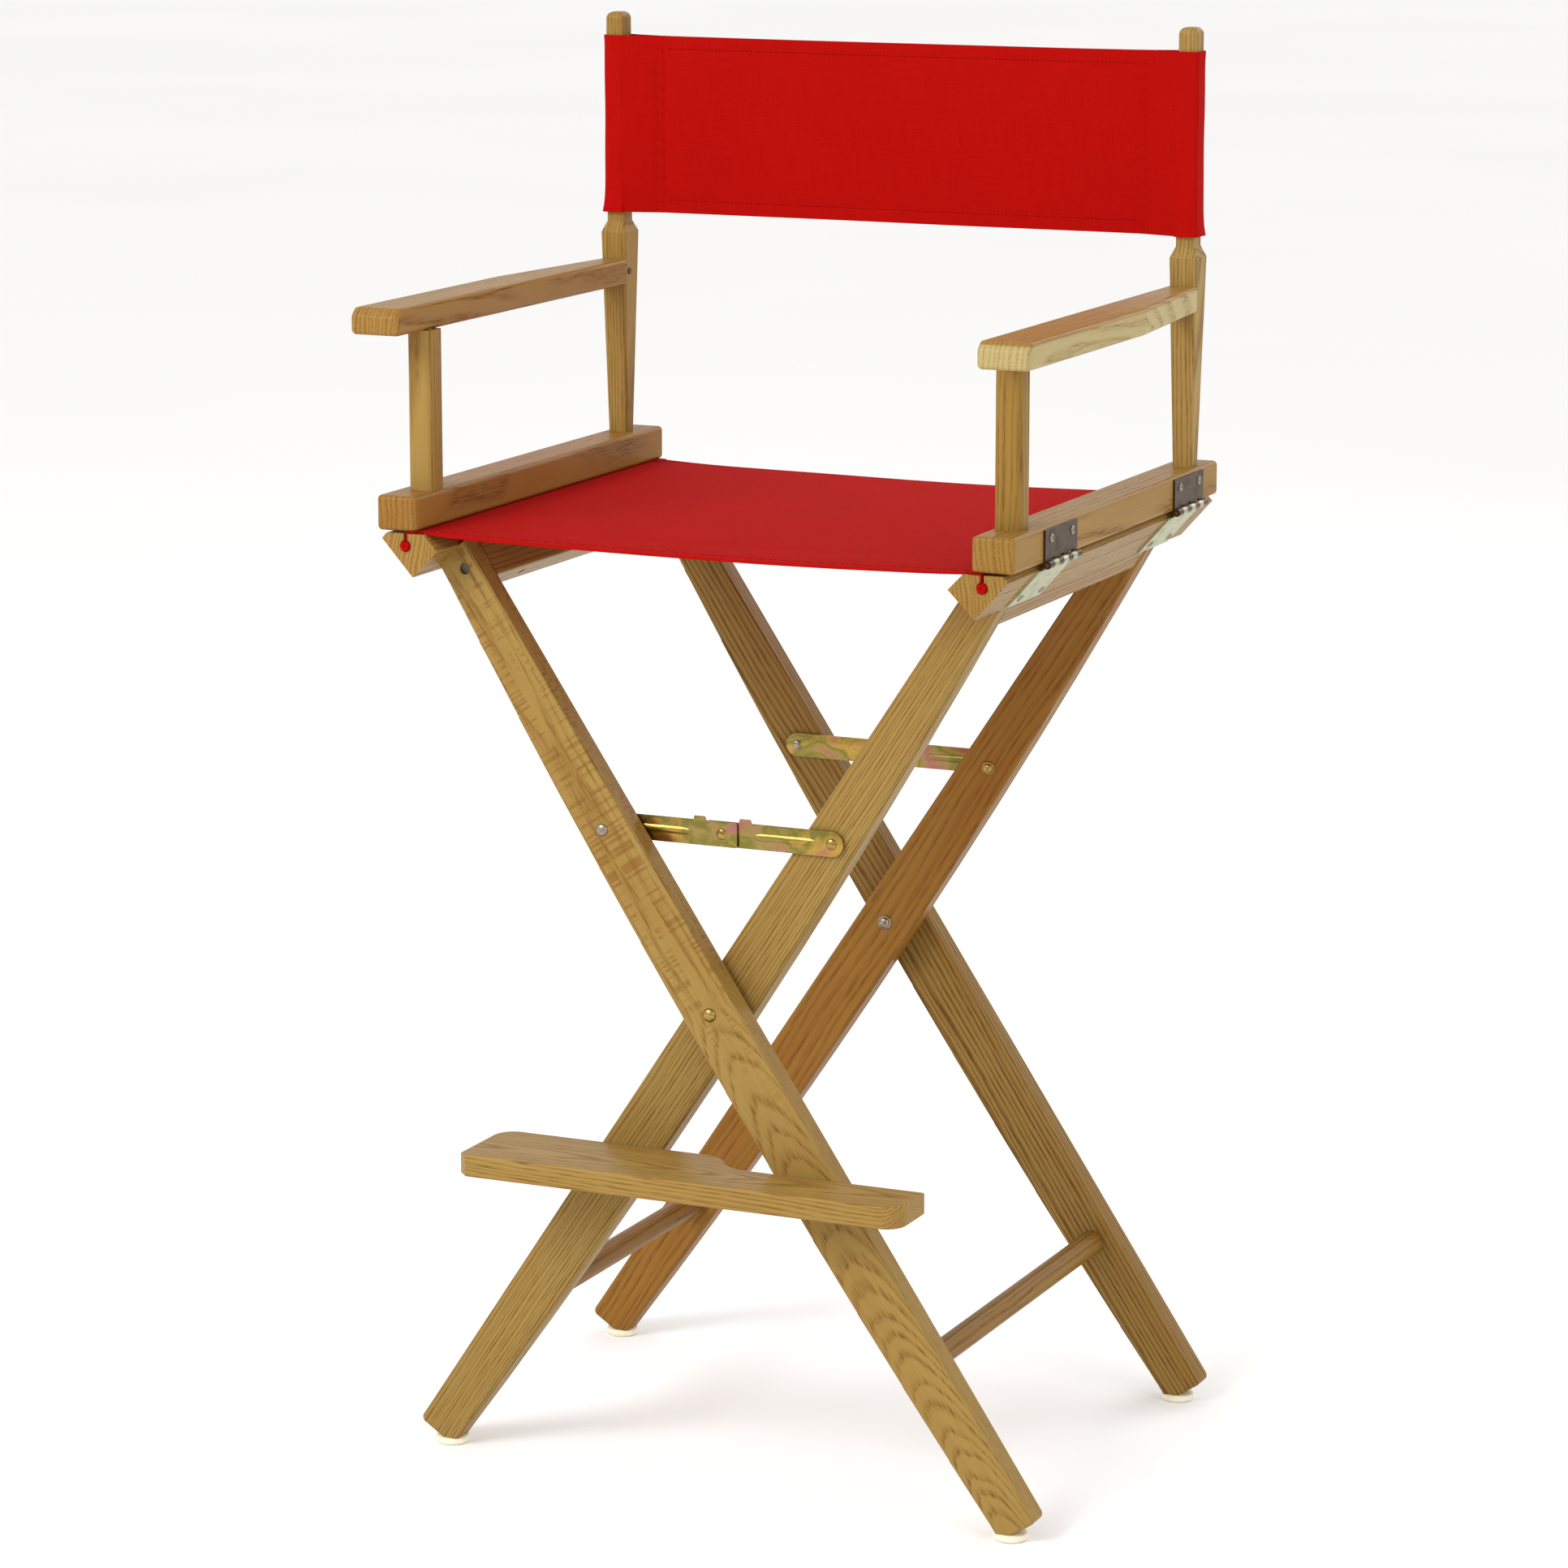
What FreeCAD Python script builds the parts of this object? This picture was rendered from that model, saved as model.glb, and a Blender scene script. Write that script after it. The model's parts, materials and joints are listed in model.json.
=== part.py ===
import FreeCAD, Part
import math
import os
import Sketcher

# Folding director chair, bar height, with a footrest.  Millimetres, +X to the sitter's left
# as seen from the front (the viewer's right), -Y the front, +Z up, origin on the floor.

V = FreeCAD.Vector
doc = FreeCAD.newDocument("director_chair")

DIMS = {
    # scissor frame
    "pivot_z": 394.0, "leg_angle": 56.5, "leg_thick": 22.0, "leg_upper": 23.0,
    "leg_lower_top": 7.0, "leg_lower_mid": 22.5, "leg_lower_foot": 12.5, "leg_round": 2.5,
    "foot_z": 6.0, "foot_flat": 14.0, "foot_round": 5.0, "leg_gap": 7.0,
    "outer_front_y": -184.5, "outer_rear_y": 212.5,
    # seat rails
    "rail_length": 445.0, "rail_bottom_x": 235.0, "rail_bottom_z": 728.0,
    "rail_out_x": 261.5, "rail_out_z": 757.5, "rail_top_out_x": 257.5, "rail_top_z": 762.0,
    "rail_top_in_x": 225.5, "rail_in_x": 213.5, "rail_in_z": 749.7,
    "slot_x": 241.0, "slot_z": 752.5, "slot_r": 4.6, "slit_width": 3.0,
    # battens between the leg tops, screwed up into the rails
    "batten_reach": 381.4, "batten_screw_in": 63.5, "batten_screw_off": 8.0, "batten_bore": 12.0,
    "batten_screw_long": 31.0,
    # arm frames
    "arm_rail_in_x": 232.0, "arm_rail_width": 34.0, "arm_rail_z": 763.5,
    "arm_rail_height": 27.5, "arm_rail_round": 3.5,
    "post_x": 246.0, "post_y": -177.0, "post_size": 22.0, "post_round": 6.0,
    "back_x": 252.0, "back_y": 182.0, "neck_wide": 16.0, "neck_deep": 18.5,
    "foot_wide": 17.0, "foot_deep": 15.0, "shoulder_wide": 23.0, "shoulder_deep": 28.0,
    "shoulder_z": 959.0, "neck_z": 968.0, "post_top_z": 1141.0,
    "arm_z": 916.0, "arm_thick": 21.0, "arm_in_x": 239.0, "arm_out_x": 281.0,
    "arm_end_x": 265.0, "arm_front_y": -233.0, "arm_bend_y": 10.0, "arm_rear_y": 168.6,
    "tenon_r": 5.5, "tenon_long": 14.0, "wood_fit": 0.05,
    # hinges
    "hinge_x": 269.2, "hinge_z": 762.6, "barrel_r": 3.0, "hinge_pin_r": 1.5,
    "leaf_thick": 1.6, "leaf_length": 66.0, "leaf_top_z": 789.0,
    "hinge_front_y": -163.0, "hinge_rear_y": 117.0,
    # braces
    "brace_z": 533.0, "link_thick": 1.5, "link_half": 10.0, "link_end": 13.0,
    # stretchers, bolts
    "stretcher_r": 10.0, "stretcher_s": 318.0, "stretcher_depth": 12.0,
    "bolt_r": 3.0, "bolt_head_r": 5.5, "washer_r": 7.5, "screw_r": 2.5,
    # footrest
    "rest_z": 255.0, "rest_thick": 18.0, "rest_front_y": -236.0,
    "rest_left_x": -196.0, "rest_right_x": 182.0,
    # canvas
    "seat_z": 762.2, "cloth_thick": 1.0, "seat_front_y": -219.0, "seat_rear_y": 217.0,
    "seat_sag": 2.6, "panel_edge_x": 224.8, "rod_r": 2.6,
    "back_low_z": 976.0, "back_high_z": 1122.0, "sleeve_in_x": 213.0, "sleeve_r": 11.4,
    # glides
    "glide_r": 14.0, "glide_x": 251.5,
}

sheet = doc.addObject("Spreadsheet::Sheet", "Dims")
for row, (alias, value) in enumerate(DIMS.items(), start=1):
    sheet.set("A%d" % row, alias)
    sheet.set("B%d" % row, str(value))
    sheet.setAlias("B%d" % row, alias)
doc.recompute()


def d(name):
    """One driving dimension; a leading minus sign gives its negative."""
    return -DIMS[name[1:]] if name.startswith("-") else DIMS[name]


def number(value):
    return d(value) if isinstance(value, str) else float(value)


def formula(name):
    return "-Dims." + name[1:] if name.startswith("-") else "Dims." + name


def plane(body, role):
    return [f for f in body.Origin.OriginFeatures if f.Role == role][0]


def outline(sketch, points):
    """A closed polygon. A coordinate given by name stays bound to its cell."""
    xy = [(number(a), number(b)) for a, b in points]
    count = len(xy)
    for i in range(count):
        a, b = xy[i], xy[(i + 1) % count]
        sketch.addGeometry(Part.LineSegment(V(a[0], a[1], 0), V(b[0], b[1], 0)), False)
    for i in range(count):
        sketch.addConstraint(Sketcher.Constraint("Coincident", i, 2, (i + 1) % count, 1))
    for i in range(count):
        for kind, name, value in (("DistanceX", points[i][0], xy[i][0]),
                                  ("DistanceY", points[i][1], xy[i][1])):
            k = sketch.addConstraint(Sketcher.Constraint(kind, -1, 1, i, 1, value))
            if isinstance(name, str):
                sketch.setExpression("Constraints[%d]" % k, formula(name))


def new_sketch(body, role, name):
    sketch = body.newObject("Sketcher::SketchObject", name)
    sketch.AttachmentSupport = [(plane(body, role), "")]
    sketch.MapMode = "FlatFace"
    return sketch


def new_body(name):
    body = doc.addObject("PartDesign::Body", name)
    body.Label = name
    return body


def pad(body, sketch, length):
    """A pad to both sides of its sketch plane, so its body's Placement is its middle."""
    feature = body.newObject("PartDesign::Pad", sketch.Name + "_pad")
    feature.Profile = sketch
    feature.Midplane = True
    feature.Length = number(length)
    if isinstance(length, str):
        feature.setExpression("Length", formula(length))
    return feature


def board(name, points, thick, mid_y, holes=(), role="XZ_Plane", at=None):
    """A flat piece: its outline in the XZ plane, its thickness along Y, round holes through it."""
    body = new_body(name)
    sketch = new_sketch(body, role, name + "_outline")
    outline(sketch, points)
    pad(body, sketch, thick)
    if holes:
        drill(body, role, name + "_holes", holes)
    body.Placement = FreeCAD.Placement(at or V(0, mid_y, 0), FreeCAD.Rotation())
    return body


def drill(body, role, name, holes):
    """Holes right through a body, each (x, y, radius)."""
    sketch = new_sketch(body, role, name)
    for x, y, r in holes:
        sketch.addGeometry(Part.Circle(V(x, y, 0), V(0, 0, 1), r), False)
    pocket = body.newObject("PartDesign::Pocket", name + "_pocket")
    pocket.Profile = sketch
    pocket.Type = "ThroughAll"
    pocket.Midplane = True
    return pocket


def fillet(body, radius, wanted):
    """Round the body's edges that pass the test."""
    doc.recompute()
    tip = body.Tip
    names = ["Edge%d" % (i + 1) for i, e in enumerate(tip.Shape.Edges) if wanted(e)]
    feature = body.newObject("PartDesign::Fillet", body.Name + "_round")
    feature.Base = (tip, names)
    feature.Radius = number(radius)
    if isinstance(radius, str):
        feature.setExpression("Radius", formula(radius))
    doc.recompute()
    return feature


def bevel(body, size, wanted):
    """Chamfer the body's edges that pass the test."""
    doc.recompute()
    tip = body.Tip
    names = ["Edge%d" % (i + 1) for i, e in enumerate(tip.Shape.Edges) if wanted(e)]
    feature = body.newObject("PartDesign::Chamfer", body.Name + "_bevel")
    feature.Base = (tip, names)
    feature.Size = number(size)
    doc.recompute()
    return feature


def ends(edge):
    return [v.Point for v in edge.Vertexes]


def along(edge, axis):
    """Whether a straight edge runs along an axis of its body."""
    p = ends(edge)
    if len(p) != 2:
        return False
    step = p[1].sub(p[0])
    return step.Length > 1e-6 and abs(abs(step.dot(axis)) - step.Length) < 1e-6


X, Y, Z = V(1, 0, 0), V(0, 1, 0), V(0, 0, 1)


def turned(name, profile, base, axis):
    """A piece turned about its own axis: profile is (radius, height) from the base up the axis."""
    body = new_body(name)
    sketch = new_sketch(body, "XZ_Plane", name + "_section")
    outline(sketch, profile)
    spin = body.newObject("PartDesign::Revolution", name + "_turn")
    spin.Profile = sketch
    spin.ReferenceAxis = (sketch, ["V_Axis"])
    spin.Angle = 360.0
    body.Placement = FreeCAD.Placement(base, FreeCAD.Rotation(Z, axis))
    return body


def rod(name, radius, base, axis, length):
    """A plain round bar from a point along an axis."""
    part = doc.addObject("Part::Cylinder", name)
    part.Label = name
    part.Radius = number(radius)
    part.Height = number(length)
    if isinstance(radius, str):
        part.setExpression("Radius", formula(radius))
    if isinstance(length, str):
        part.setExpression("Height", formula(length))
    part.Placement = FreeCAD.Placement(base, FreeCAD.Rotation(Z, axis))
    return part


def cut(name, base, tools):
    """The base with each tool taken away."""
    if len(tools) > 1:
        tool = doc.addObject("Part::MultiFuse", name + "_tools")
        tool.Shapes = tools
    else:
        tool = tools[0]
    part = doc.addObject("Part::Cut", name)
    part.Base = base
    part.Tool = tool
    part.Label = name
    return part


def joined(name, pieces):
    part = doc.addObject("Part::MultiFuse", name)
    part.Shapes = pieces
    part.Label = name
    return part


def group(name, pieces):
    part = doc.addObject("Part::Compound", name)
    part.Links = pieces
    part.Label = name
    return part


parts = {}

# ---------------------------------------------------------------- the legs
angle = math.radians(d("leg_angle"))
along_leg = (math.cos(angle), -math.sin(angle))
across_leg = (math.sin(angle), math.cos(angle))


def leg_point(s, off, side):
    """A point s down the leg from the pivot and off towards its upper edge."""
    x = s * along_leg[0] + off * across_leg[0]
    z = d("pivot_z") + s * along_leg[1] + off * across_leg[1]
    return (side * x, z)


rail_corner = (-d("rail_bottom_x"), d("rail_bottom_z"))
rail_inner = (-d("rail_in_x"), d("rail_in_z"))


def top_cut(off):
    """Where a line at this offset meets the seat rail's lower inner face."""
    run = (rail_inner[0] - rail_corner[0], rail_inner[1] - rail_corner[1])
    low = rail_corner[0] * across_leg[0] + (rail_corner[1] - d("pivot_z")) * across_leg[1]
    rate = run[0] * across_leg[0] + run[1] * across_leg[1]
    k = (off - low) / rate
    return (rail_corner[0] + k * run[0], rail_corner[1] + k * run[1])


thick = d("leg_thick")
gap = d("leg_gap")
leg_front = {
    "outer_front": d("outer_front_y"),
    "inner_front": d("outer_front_y") + thick + gap,
    "inner_rear": d("outer_rear_y") - 2 * thick - gap,
    "outer_rear": d("outer_rear_y") - thick,
}
brace_s = -(d("brace_z") - d("pivot_z")) / math.sin(angle)
rest_bolt_z = d("rest_z") + d("rest_thick") / 2
rest_bolt_s = (d("pivot_z") - rest_bolt_z) / math.sin(angle)
peg_r = 4.0
peg_z = d("rest_z") - peg_r - 0.3
peg_s = (d("pivot_z") - peg_z) / math.sin(angle)

# the leg's top meets the rail between these two corners
top_low = top_cut(-d("leg_lower_top"))
top_high = top_cut(d("leg_upper"))
joint_mid = ((top_low[0] + top_high[0]) / 2, (top_low[1] + top_high[1]) / 2)
face_run = math.hypot(rail_inner[0] - rail_corner[0], rail_inner[1] - rail_corner[1])
into_leg = ((rail_inner[1] - rail_corner[1]) / face_run,
            -(rail_inner[0] - rail_corner[0]) / face_run)
nut_reach = 16.0
nut_at = (joint_mid[0] + nut_reach * into_leg[0], joint_mid[1] + nut_reach * into_leg[1])

foot_s = (d("pivot_z") - d("foot_z") - d("leg_lower_foot") * across_leg[1]) / math.sin(angle)
foot_in = leg_point(foot_s, -d("leg_lower_foot"), 1)
foot_out = (foot_in[0] + d("foot_flat"), d("foot_z"))
foot_out_s = foot_out[0] * along_leg[0] + (foot_out[1] - d("pivot_z")) * along_leg[1]
foot_up = leg_point(foot_out_s, d("leg_upper"), 1)
bulge = leg_point(-10.0, -d("leg_lower_mid"), 1)


def leg(name, side, front_y, holes):
    """One leg: a straight upper edge, a lower edge bowed at the pivot, a foot cut for its glide."""
    body = new_body(name + "_board")
    sketch = new_sketch(body, "XZ_Plane", name + "_outline")

    def at(p):
        return V(side * p[0], p[1], 0)

    corners = [top_high, foot_up, foot_out, foot_in]
    for a, b in zip(corners, corners[1:]):
        sketch.addGeometry(Part.LineSegment(at(a), at(b)), False)
    sketch.addGeometry(Part.Arc(at(foot_in), at(bulge), at(top_low)), False)
    sketch.addGeometry(Part.LineSegment(at(top_low), at(top_high)), False)
    pad(body, sketch, "leg_thick")
    drill(body, "XZ_Plane", name + "_bores", [(side * x, z, r) for x, z, r in holes])
    fillet(body, "foot_round", lambda e: along(e, Y) and abs(ends(e)[0].z - foot_up[1]) < 0.01)
    fillet(body, "leg_round", lambda e: e.Length > 300.0)
    body.Placement = FreeCAD.Placement(V(0, front_y + thick / 2, 0), FreeCAD.Rotation())
    return body


def stud_tools(name, side, front_y, into_y):
    """The barrel nut's blind hole and the stud's hole at the top of a leg."""
    mid = front_y + thick / 2
    start = front_y if into_y > 0 else front_y + thick
    nut = rod(name + "_nut_hole", 4.5 + d("wood_fit"), V(side * nut_at[0], start, nut_at[1]),
              V(0, into_y, 0), 18.5)
    stud = rod(name + "_stud_hole", d("screw_r") + d("wood_fit"),
               V(side * joint_mid[0], mid, joint_mid[1]),
               V(side * into_leg[0], 0, into_leg[1]), nut_reach)
    return [nut, stud]


pivot_hole = (0.0, d("pivot_z"), d("bolt_r") + d("wood_fit"))
brace_at = leg_point(brace_s, 0.0, 1)
brace_hole = (brace_at[0], brace_at[1], d("screw_r") + d("wood_fit"))
rest_at = leg_point(rest_bolt_s, 0.0, 1)
peg_at = leg_point(peg_s, 0.0, 1)
stretcher_at = leg_point(d("stretcher_s"), 2.0, 1)

leg_rows = (
    ("leg_outer_front", 1, "outer_front", [pivot_hole, brace_hole,
                                           (rest_at[0], rest_at[1], 4.0 + d("wood_fit"))], 1, 1),
    ("leg_outer_rear", 1, "outer_rear", [pivot_hole, brace_hole], -1, -1),
    ("leg_inner_front", -1, "inner_front", [pivot_hole, brace_hole,
                                            (peg_at[0], peg_at[1], peg_r + d("wood_fit"))], -1, 1),
    ("leg_inner_rear", -1, "inner_rear", [pivot_hole, brace_hole], -1, -1),
)
for name, side, place, holes, nut_from, facing in leg_rows:
    front_y = leg_front[place]
    body = leg(name, side, front_y, holes)
    tools = stud_tools(name, side, front_y, nut_from)
    inner_y = front_y + thick if facing > 0 else front_y
    tools.append(rod(name + "_socket", d("stretcher_r") + d("wood_fit"),
                     V(side * stretcher_at[0], inner_y - facing * d("stretcher_depth"),
                       stretcher_at[1]), V(0, facing, 0), d("stretcher_depth") + 1.0))
    parts[name] = cut(name, body, tools)

# round stretchers, glued into the blind sockets
for name, side, front, rear in (("stretcher_outer", 1, "outer_front", "outer_rear"),
                                ("stretcher_inner", -1, "inner_front", "inner_rear")):
    y0 = leg_front[front] + thick - d("stretcher_depth") + 0.2
    y1 = leg_front[rear] + d("stretcher_depth") - 0.2
    parts[name] = rod(name, "stretcher_r", V(side * stretcher_at[0], y0, stretcher_at[1]), Y, y1 - y0)

# plastic glides under the feet, each with the stub that holds it in the leg
for name, side, places in (("glides_outer", 1, ("outer_front", "outer_rear")),
                           ("glides_inner", -1, ("inner_front", "inner_rear"))):
    glides = []
    for place in places:
        glides.append(turned(
            "%s_%s" % (name, place),
            [(0, 0), (d("glide_r") - 2.0, 0), (d("glide_r"), 2.0), (d("glide_r"), 4.5),
             (d("glide_r") - 1.5, d("foot_z")), (0, d("foot_z"))],
            V(side * d("glide_x"), leg_front[place] + thick / 2, 0), Z))
    parts[name] = group(name, glides)

# ---------------------------------------------------------------- seat rails

def rail(name, side, studs):
    """A seat rail: a square bar stood on one corner, its top cut flat, with the canvas groove."""
    sign = "" if side > 0 else "-"
    body = board(name + "_bar", [
        (sign + "rail_bottom_x", "rail_bottom_z"), (sign + "rail_out_x", "rail_out_z"),
        (sign + "rail_top_out_x", "rail_top_z"), (sign + "rail_top_in_x", "rail_top_z"),
        (sign + "rail_in_x", "rail_in_z")], "rail_length", 0.0)
    groove = drill(body, "XZ_Plane", name + "_groove", [(side * d("slot_x"), d("slot_z"), d("slot_r"))])
    groove.Label = name + " groove"
    slit = new_sketch(body, "XZ_Plane", name + "_slit")
    left = side * d("slot_x") - d("slit_width") / 2
    right = left + d("slit_width")
    outline(slit, [(left, d("slot_z")), (right, d("slot_z")), (right, 770.0), (left, 770.0)])
    pocket = body.newObject("PartDesign::Pocket", name + "_slit_pocket")
    pocket.Profile = slit
    pocket.Type = "ThroughAll"
    pocket.Midplane = True
    tools = []
    for k, y in enumerate(studs):
        tools.append(rod("%s_stud_hole_%d" % (name, k), d("screw_r") + d("wood_fit"),
                         V(-side * (joint_mid[0] - 14.2 * into_leg[0]), y,
                           joint_mid[1] - 14.2 * into_leg[1]),
                         V(-side * into_leg[0], 0, into_leg[1]), 14.2))
    for k, y in enumerate(batten_y["outer" if side < 0 else "inner"]):
        tools.append(rod("%s_screw_hole_%d" % (name, k), 1.8, V(-side * screw_base[0], y, screw_base[1]),
                         V(side * along_leg[0], 0, -along_leg[1]), d("batten_screw_long") + 0.5))
    return cut(name, body, tools)


stud_y = {
    "outer": [leg_front["outer_front"] + thick / 2, leg_front["outer_rear"] + thick / 2],
    "inner": [leg_front["inner_front"] + thick / 2, leg_front["inner_rear"] + thick / 2],
}
batten_y = {
    "outer": [leg_front["outer_front"] + thick + d("batten_screw_in"),
              leg_front["outer_rear"] - d("batten_screw_in")],
    "inner": [leg_front["inner_front"] + thick + d("batten_screw_in"),
              leg_front["inner_rear"] - d("batten_screw_in")],
}
bore_base = leg_point(-d("batten_reach") + 1.0, d("batten_screw_off"), 1)
screw_base = leg_point(-d("batten_reach") - d("batten_bore"), d("batten_screw_off"), 1)
parts["seat_rail_left"] = rail("seat_rail_left", -1, stud_y["outer"])
parts["seat_rail_right"] = rail("seat_rail_right", 1, stud_y["inner"])

# battens: the same section as the leg tops, bearing on the rail between them
for hand, side, frame in (("left", 1, "outer"), ("right", -1, "inner")):
    y0 = leg_front[frame + "_front"] + thick + 0.1
    y1 = leg_front[frame + "_rear"] - 0.1
    low_in = leg_point(-d("batten_reach"), d("leg_upper"), 1)
    low_out = leg_point(-d("batten_reach"), -d("leg_lower_top"), 1)
    bar = board("side_batten_%s_bar" % hand, [(side * x, z) for x, z in (top_high, low_in, low_out, top_low)],
                y1 - y0, (y0 + y1) / 2)
    fillet(bar, 1.5, lambda e: along(e, Y) and max(p.z for p in ends(e)) < top_low[1] - 1.0)
    bores = []
    for k, y in enumerate(batten_y[frame]):
        up_leg = V(-side * along_leg[0], 0, -along_leg[1])
        bores.append(rod("side_batten_%s_bore_%d" % (hand, k), 3.6, V(side * bore_base[0], y, bore_base[1]),
                         up_leg, d("batten_bore") + 1.0))
        bores.append(rod("side_batten_%s_pilot_%d" % (hand, k), 1.8,
                         V(side * screw_base[0], y, screw_base[1]), up_leg, 30.0))
    parts["side_batten_" + hand] = cut("side_batten_" + hand, bar, bores)

# studs and barrel nuts that pull each leg against its rail, and the battens' screws
for frame, side, froms in (("outer", 1, (1, -1)), ("inner", -1, (-1, -1))):
    studs = []
    nuts = []
    for k, (y, into_y) in enumerate(zip(stud_y[frame], froms)):
        studs.append(rod("rail_stud_%s_%d" % (frame, k), "screw_r",
                         V(side * (joint_mid[0] - 14.0 * into_leg[0]), y,
                           joint_mid[1] - 14.0 * into_leg[1]),
                         V(side * into_leg[0], 0, into_leg[1]), 14.0 + nut_reach))
        nut = rod("barrel_%s_%d" % (frame, k), 4.5,
                  V(side * nut_at[0], y - into_y * 8.5, nut_at[1]), V(0, into_y, 0), 15.5)
        bore = rod("barrel_bore_%s_%d" % (frame, k), d("screw_r") + d("wood_fit"),
                   V(side * (nut_at[0] - 8.0 * into_leg[0]), y, nut_at[1] - 8.0 * into_leg[1]),
                   V(side * into_leg[0], 0, into_leg[1]), 16.0)
        nuts.append(cut("barrel_nut_%s_%d" % (frame, k), nut, [bore]))
    for k, y in enumerate(batten_y[frame]):
        studs.append(turned("batten_screw_%s_%d" % (frame, k),
                            [(0, -1.6), (2.0, -1.6), (3.3, -0.4), (3.3, -0.05), (1.75, -0.05),
                             (1.75, d("batten_screw_long")), (0, d("batten_screw_long"))],
                            V(side * screw_base[0], y, screw_base[1]),
                            V(-side * along_leg[0], 0, -along_leg[1])))
    parts["rail_studs_" + frame] = group("rail_studs_" + frame, studs)
    parts["barrel_nuts_" + frame] = group("barrel_nuts_" + frame, nuts)

# ---------------------------------------------------------------- pivot bolts
bolt = d("bolt_r")
head = d("bolt_head_r")
ring = bolt + d("wood_fit")
y_a, y_b = leg_front["outer_front"], leg_front["inner_front"]
y_d, y_c = leg_front["inner_rear"], leg_front["outer_rear"]


def dome(head_r, head_h, shank_r, length):
    """Half section of a domed screw: the shank up the axis, the head below the base."""
    return [(0, -head_h), (head_r * 0.5, -head_h * 0.9), (head_r * 0.86, -head_h * 0.5),
            (head_r, 0), (shank_r, 0), (shank_r, length), (0, length)]


def washer(name, inner_r, outer_r, base, axis, height):
    return turned(name, [(inner_r, 0), (outer_r, 0), (outer_r, height), (inner_r, height)],
                  base, axis)


pivot_z = d("pivot_z")
front_grip = 2 * thick + gap
parts["pivot_bolt_front"] = turned("pivot_bolt_front", dome(head, 3.0, bolt, front_grip + 5.0),
                                   V(0, y_a, pivot_z), Y)
parts["pivot_nut_front"] = turned("pivot_nut_front", [(ring, 0.1), (6.5, 0.1), (6.5, 4.0), (4.5, 5.2),
                                                      (ring, 5.2)],
                                  V(0, y_b + thick, pivot_z), Y)
spacer_front = washer("pivot_spacer_front", ring, 9.0, V(0, y_a + thick + 0.1, pivot_z), Y, gap - 0.2)
rear_bolt = turned("pivot_screw_rear", dome(4.4, 2.2, bolt, front_grip + 6.5),
                   V(0, y_d - 1.5, pivot_z), Y)
rear_washer = washer("pivot_washer_rear", ring, d("washer_r") * 0.8, V(0, y_d - 1.3, pivot_z), Y, 1.2)
parts["pivot_bolt_rear"] = group("pivot_bolt_rear", [rear_bolt, rear_washer])
parts["pivot_nut_rear"] = turned("pivot_nut_rear", [(ring, 0.1), (6.5, 0.1), (6.5, 4.0), (4.5, 5.2),
                                                    (ring, 5.2)],
                                 V(0, y_c + thick, pivot_z), Y)
spacer_rear = washer("pivot_spacer_rear", ring, 9.0, V(0, y_d + thick + 0.1, pivot_z), Y, gap - 0.2)
parts["pivot_spacers"] = group("pivot_spacers", [spacer_front, spacer_rear])

# ---------------------------------------------------------------- braces
link = d("link_thick")
half = d("link_half")
brace_x = brace_at[0]
if brace_x < 0:
    brace_x = -brace_x
brace_z = d("brace_z")
slot_r = d("screw_r") + d("wood_fit")


def brace_link(name, side, front_y, bead_side):
    """A strap link from its leg to the middle: round at the leg, square at the middle, with a
    stop lug on its top edge and a pressed bead along it."""
    body = new_body(name + "_strap")
    sketch = new_sketch(body, "XZ_Plane", name + "_outline")
    end = d("link_end")

    def at(x, z):
        return V(side * x, brace_z + z, 0)

    top = [at(brace_x, half), at(24.0, half), at(24.0, half + 3.0), at(14.0, half + 3.0),
           at(14.0, half), at(-end, half), at(-end, -half), at(brace_x, -half)]
    for a, b in zip(top, top[1:]):
        sketch.addGeometry(Part.LineSegment(a, b), False)
    sketch.addGeometry(Part.Arc(top[-1], at(brace_x + half, 0), top[0]), False)
    pad(body, sketch, "link_thick")
    drill(body, "XZ_Plane", name + "_bores", [(side * brace_x, brace_z, slot_r), (0, brace_z, slot_r)])
    body.Placement = FreeCAD.Placement(V(0, front_y + link / 2, 0), FreeCAD.Rotation())
    bead_y = front_y if bead_side < 0 else front_y + link
    bead = board(name + "_bead", [(side * 26.0, brace_z - 2.5), (side * 78.0, brace_z - 2.5),
                                  (side * 80.0, brace_z), (side * 78.0, brace_z + 2.5),
                                  (side * 26.0, brace_z + 2.5), (side * 24.0, brace_z)],
                 1.0, bead_y)
    return joined(name, [body, bead])


near = y_a + thick + 1.6
parts["brace_front_left"] = brace_link("brace_front_left", -1, near, -1)
parts["brace_front_right"] = brace_link("brace_front_right", 1, near + link + 0.3, 1)
far = y_c - 1.6 - link
parts["brace_rear_left"] = brace_link("brace_rear_left", -1, far, 1)
parts["brace_rear_right"] = brace_link("brace_rear_right", 1, far - link - 0.3, -1)

outer_screw = turned("brace_screw_outer_front", dome(5.0, 2.4, d("screw_r"), thick + 1.6 + link),
                     V(-brace_x, y_a, brace_z), Y)
outer_pin = turned("brace_pin_outer_rear", dome(4.0, 1.4, d("screw_r"), 16.0),
                   V(-brace_x, far - 0.1, brace_z), Y)
parts["brace_screws_outer"] = group("brace_screws_outer", [outer_screw, outer_pin])
inner_pin = turned("brace_pin_inner_front", dome(4.5, 2.0, d("screw_r"), 16.0),
                   V(brace_x, near + link + 0.2, brace_z), Y)
inner_screw = turned("brace_screw_inner_rear", dome(4.0, 1.8, d("screw_r"), thick + 1.4 + 3.4 + link),
                     V(brace_x, y_d - 1.4, brace_z), Y)
inner_washer = washer("brace_washer_inner_rear", slot_r, 5.8, V(brace_x, y_d - 1.25, brace_z), Y, 1.15)
parts["brace_screws_inner"] = group("brace_screws_inner", [inner_pin, inner_screw, inner_washer])
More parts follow.
